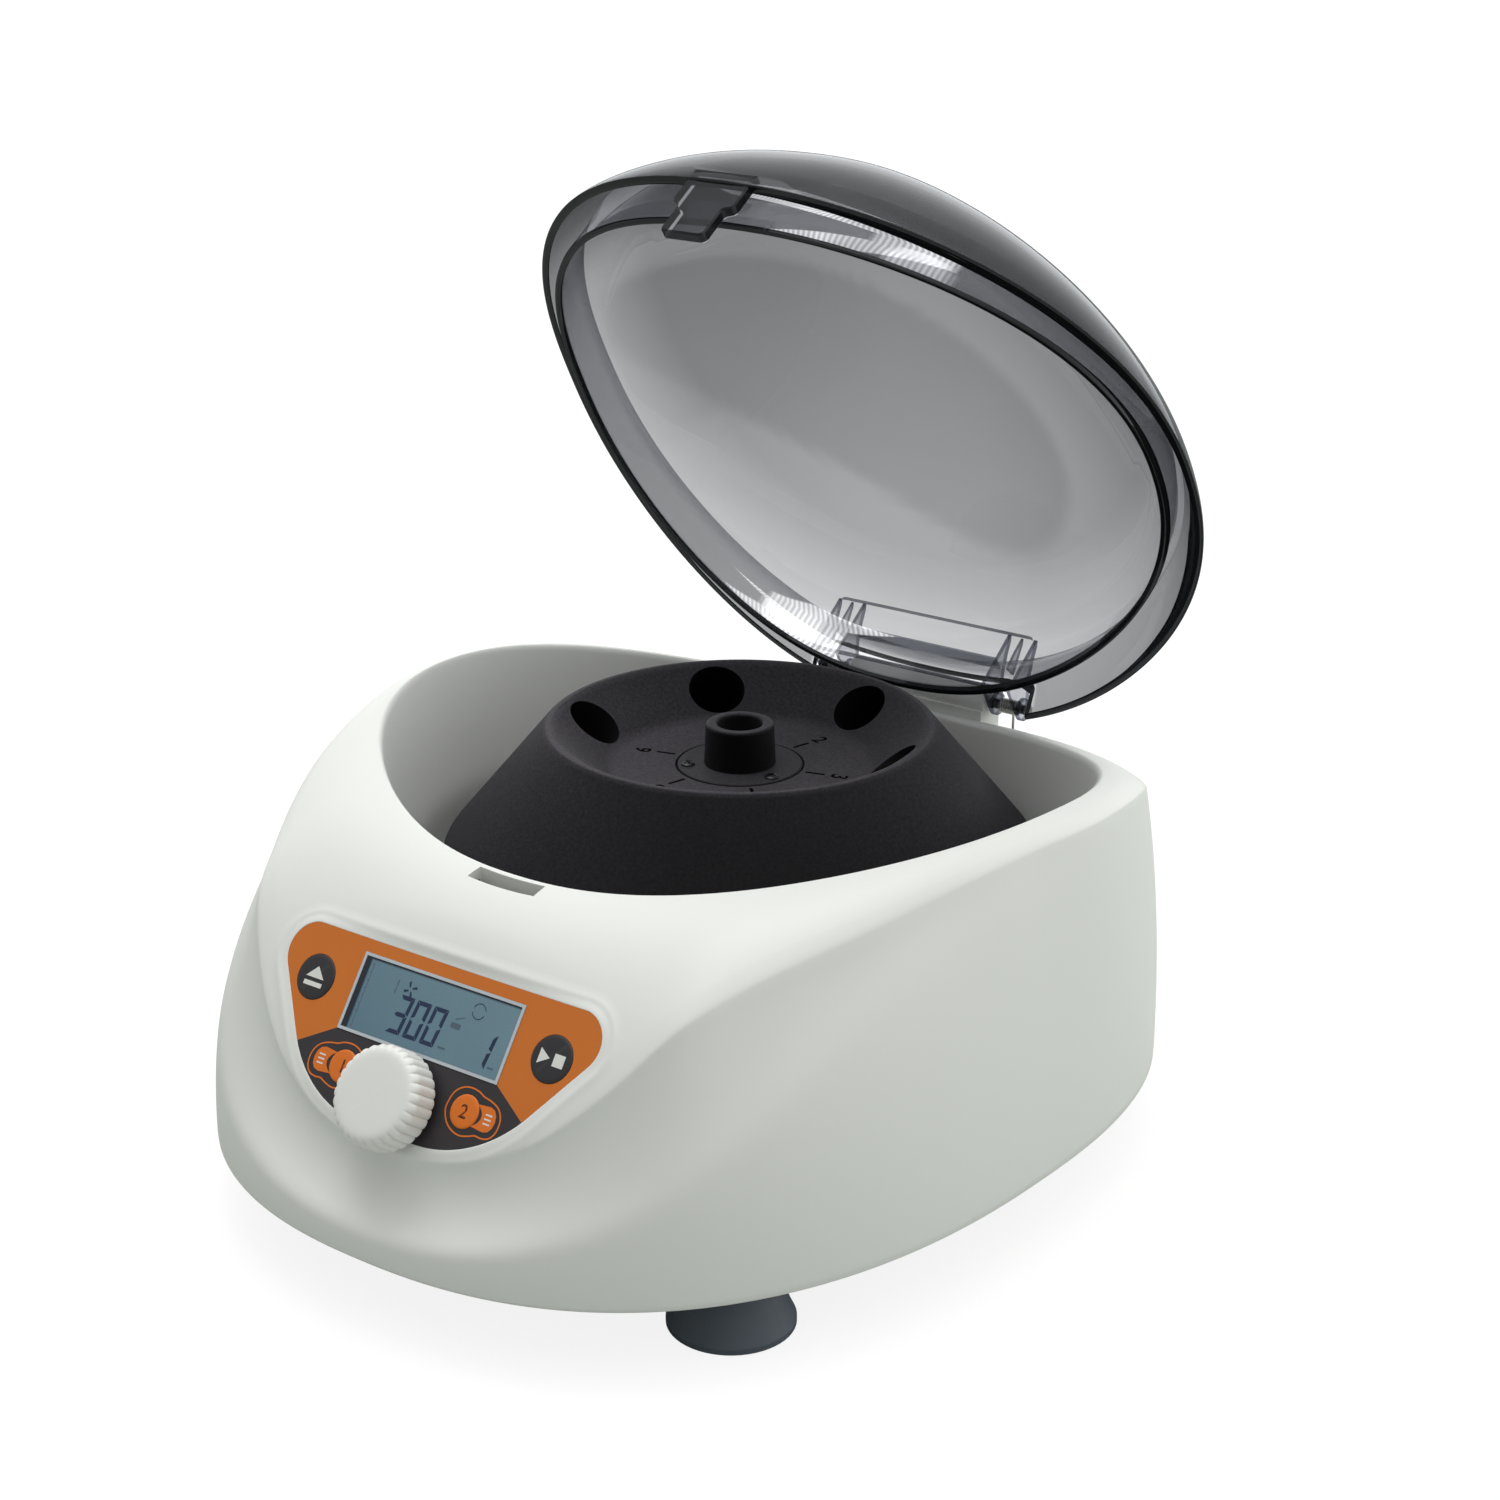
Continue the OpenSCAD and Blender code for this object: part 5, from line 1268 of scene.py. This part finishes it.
me = bpy.data.meshes.new("floor")
S = 6.0
me.from_pydata([(-S, -S, FLOOR_Z), (S, -S, FLOOR_Z), (S, S, FLOOR_Z), (-S, S, FLOOR_Z)], [], [[0, 1, 2, 3]])
floor = link(bpy.data.objects.new("floor", me))
me.materials.append(stage_mat("floor_pale", (0.93, 0.93, 0.93), 0.8))
fnt = me.materials[0].node_tree
fb = fnt.nodes["Principled BSDF"]
src = fb.inputs["Base Color"].links[0].from_socket
lp = fnt.nodes.new("ShaderNodeLightPath")
shade_floor = mix_col(fnt, 0.82, src, (0.0, 0.0, 0.0))
seen = math_node(fnt, "MAXIMUM", lp.outputs["Is Camera Ray"], lp.outputs["Is Transmission Ray"], True)
fnt.links.new(mix_col(fnt, seen, (0.42, 0.448, 0.415), shade_floor), fb.inputs["Base Color"])
fb.inputs["Emission Color"].default_value = (1.0, 1.0, 1.0, 1)
fnt.links.new(math_node(fnt, "MULTIPLY", seen, 0.86), fb.inputs["Emission Strength"])

w = bpy.data.worlds.new("studio")
scene.world = w
w.use_nodes = True
bg = w.node_tree.nodes["Background"]
wn = w.node_tree
wtc = wn.nodes.new("ShaderNodeTexCoord").outputs["Generated"]
wsep = wn.nodes.new("ShaderNodeSeparateXYZ")
wn.links.new(wtc, wsep.inputs[0])
wx, wy, wz = wsep.outputs
zp = math_node(wn, "MAXIMUM", wz, 0.0)
low = math_node(wn, "SUBTRACT", 1.0, zp)
term_top = math_node(wn, "MULTIPLY", math_node(wn, "POWER", zp, 3.0), 1.60)
side = math_node(wn, "ADD", math_node(wn, "MULTIPLY", math_node(wn, "MAXIMUM", wx, 0.0), 0.81),
                 math_node(wn, "MULTIPLY", math_node(wn, "MAXIMUM", math_node(wn, "MULTIPLY", wx, -1.0), 0.0), 0.67))
term_side = math_node(wn, "MULTIPLY", side, low)
term_back = math_node(wn, "MULTIPLY", math_node(wn, "MULTIPLY", math_node(wn, "MAXIMUM", wy, 0.0), low), 2.5)
glow = math_node(wn, "ADD", math_node(wn, "ADD", term_top, term_side), term_back)
# behind the floor's far edge the camera sees plain white
wseen = wn.nodes.new("ShaderNodeLightPath").outputs["Is Camera Ray"]
wn.links.new(mix_col(wn, wseen, (0.985, 1.0, 0.982), (1.0, 1.0, 1.0)), bg.inputs["Color"])
hidden = math_node(wn, "MULTIPLY", glow, math_node(wn, "SUBTRACT", 1.0, wseen))
wn.links.new(math_node(wn, "ADD", hidden, wseen), bg.inputs["Strength"])


def area(name, loc, target, size, power, color=(1, 1, 1), size_y=None):
    ld = bpy.data.lights.new(name, "AREA")
    ld.shape = "RECTANGLE" if size_y else "SQUARE"
    ld.size = size
    if size_y:
        ld.size_y = size_y
    ld.energy = power
    ld.color = color
    ob = link(bpy.data.objects.new(name, ld))
    ob.location = loc
    d = Vector(target) - Vector(loc)
    ob.rotation_euler = d.to_track_quat("-Z", "Y").to_euler()
    return ob


area("key_light", (-0.35, 0.15, 1.6), (0, -0.02, 0.05), 0.9, 8.4)

cam_data = bpy.data.cameras.new("camera")
cam_data.lens = 66.2
cam_data.sensor_width = 36.0
cam = link(bpy.data.objects.new("camera", cam_data))
d = Vector((-0.5493, 0.7566, -0.3549)).normalized()
r = Vector((0.8092, 0.5875, 0)).normalized()
u = r.cross(d).normalized()
mat = Matrix((r, u, -d)).transposed().to_4x4()
mat.translation = Vector((0.4537, -0.6198, 0.3853))
cam.matrix_world = mat
scene.camera = cam
scene.view_settings.view_transform = "Standard"
scene.view_settings.look = "None"
if hasattr(scene, "cycles"):
    scene.cycles.transparent_max_bounces = 24
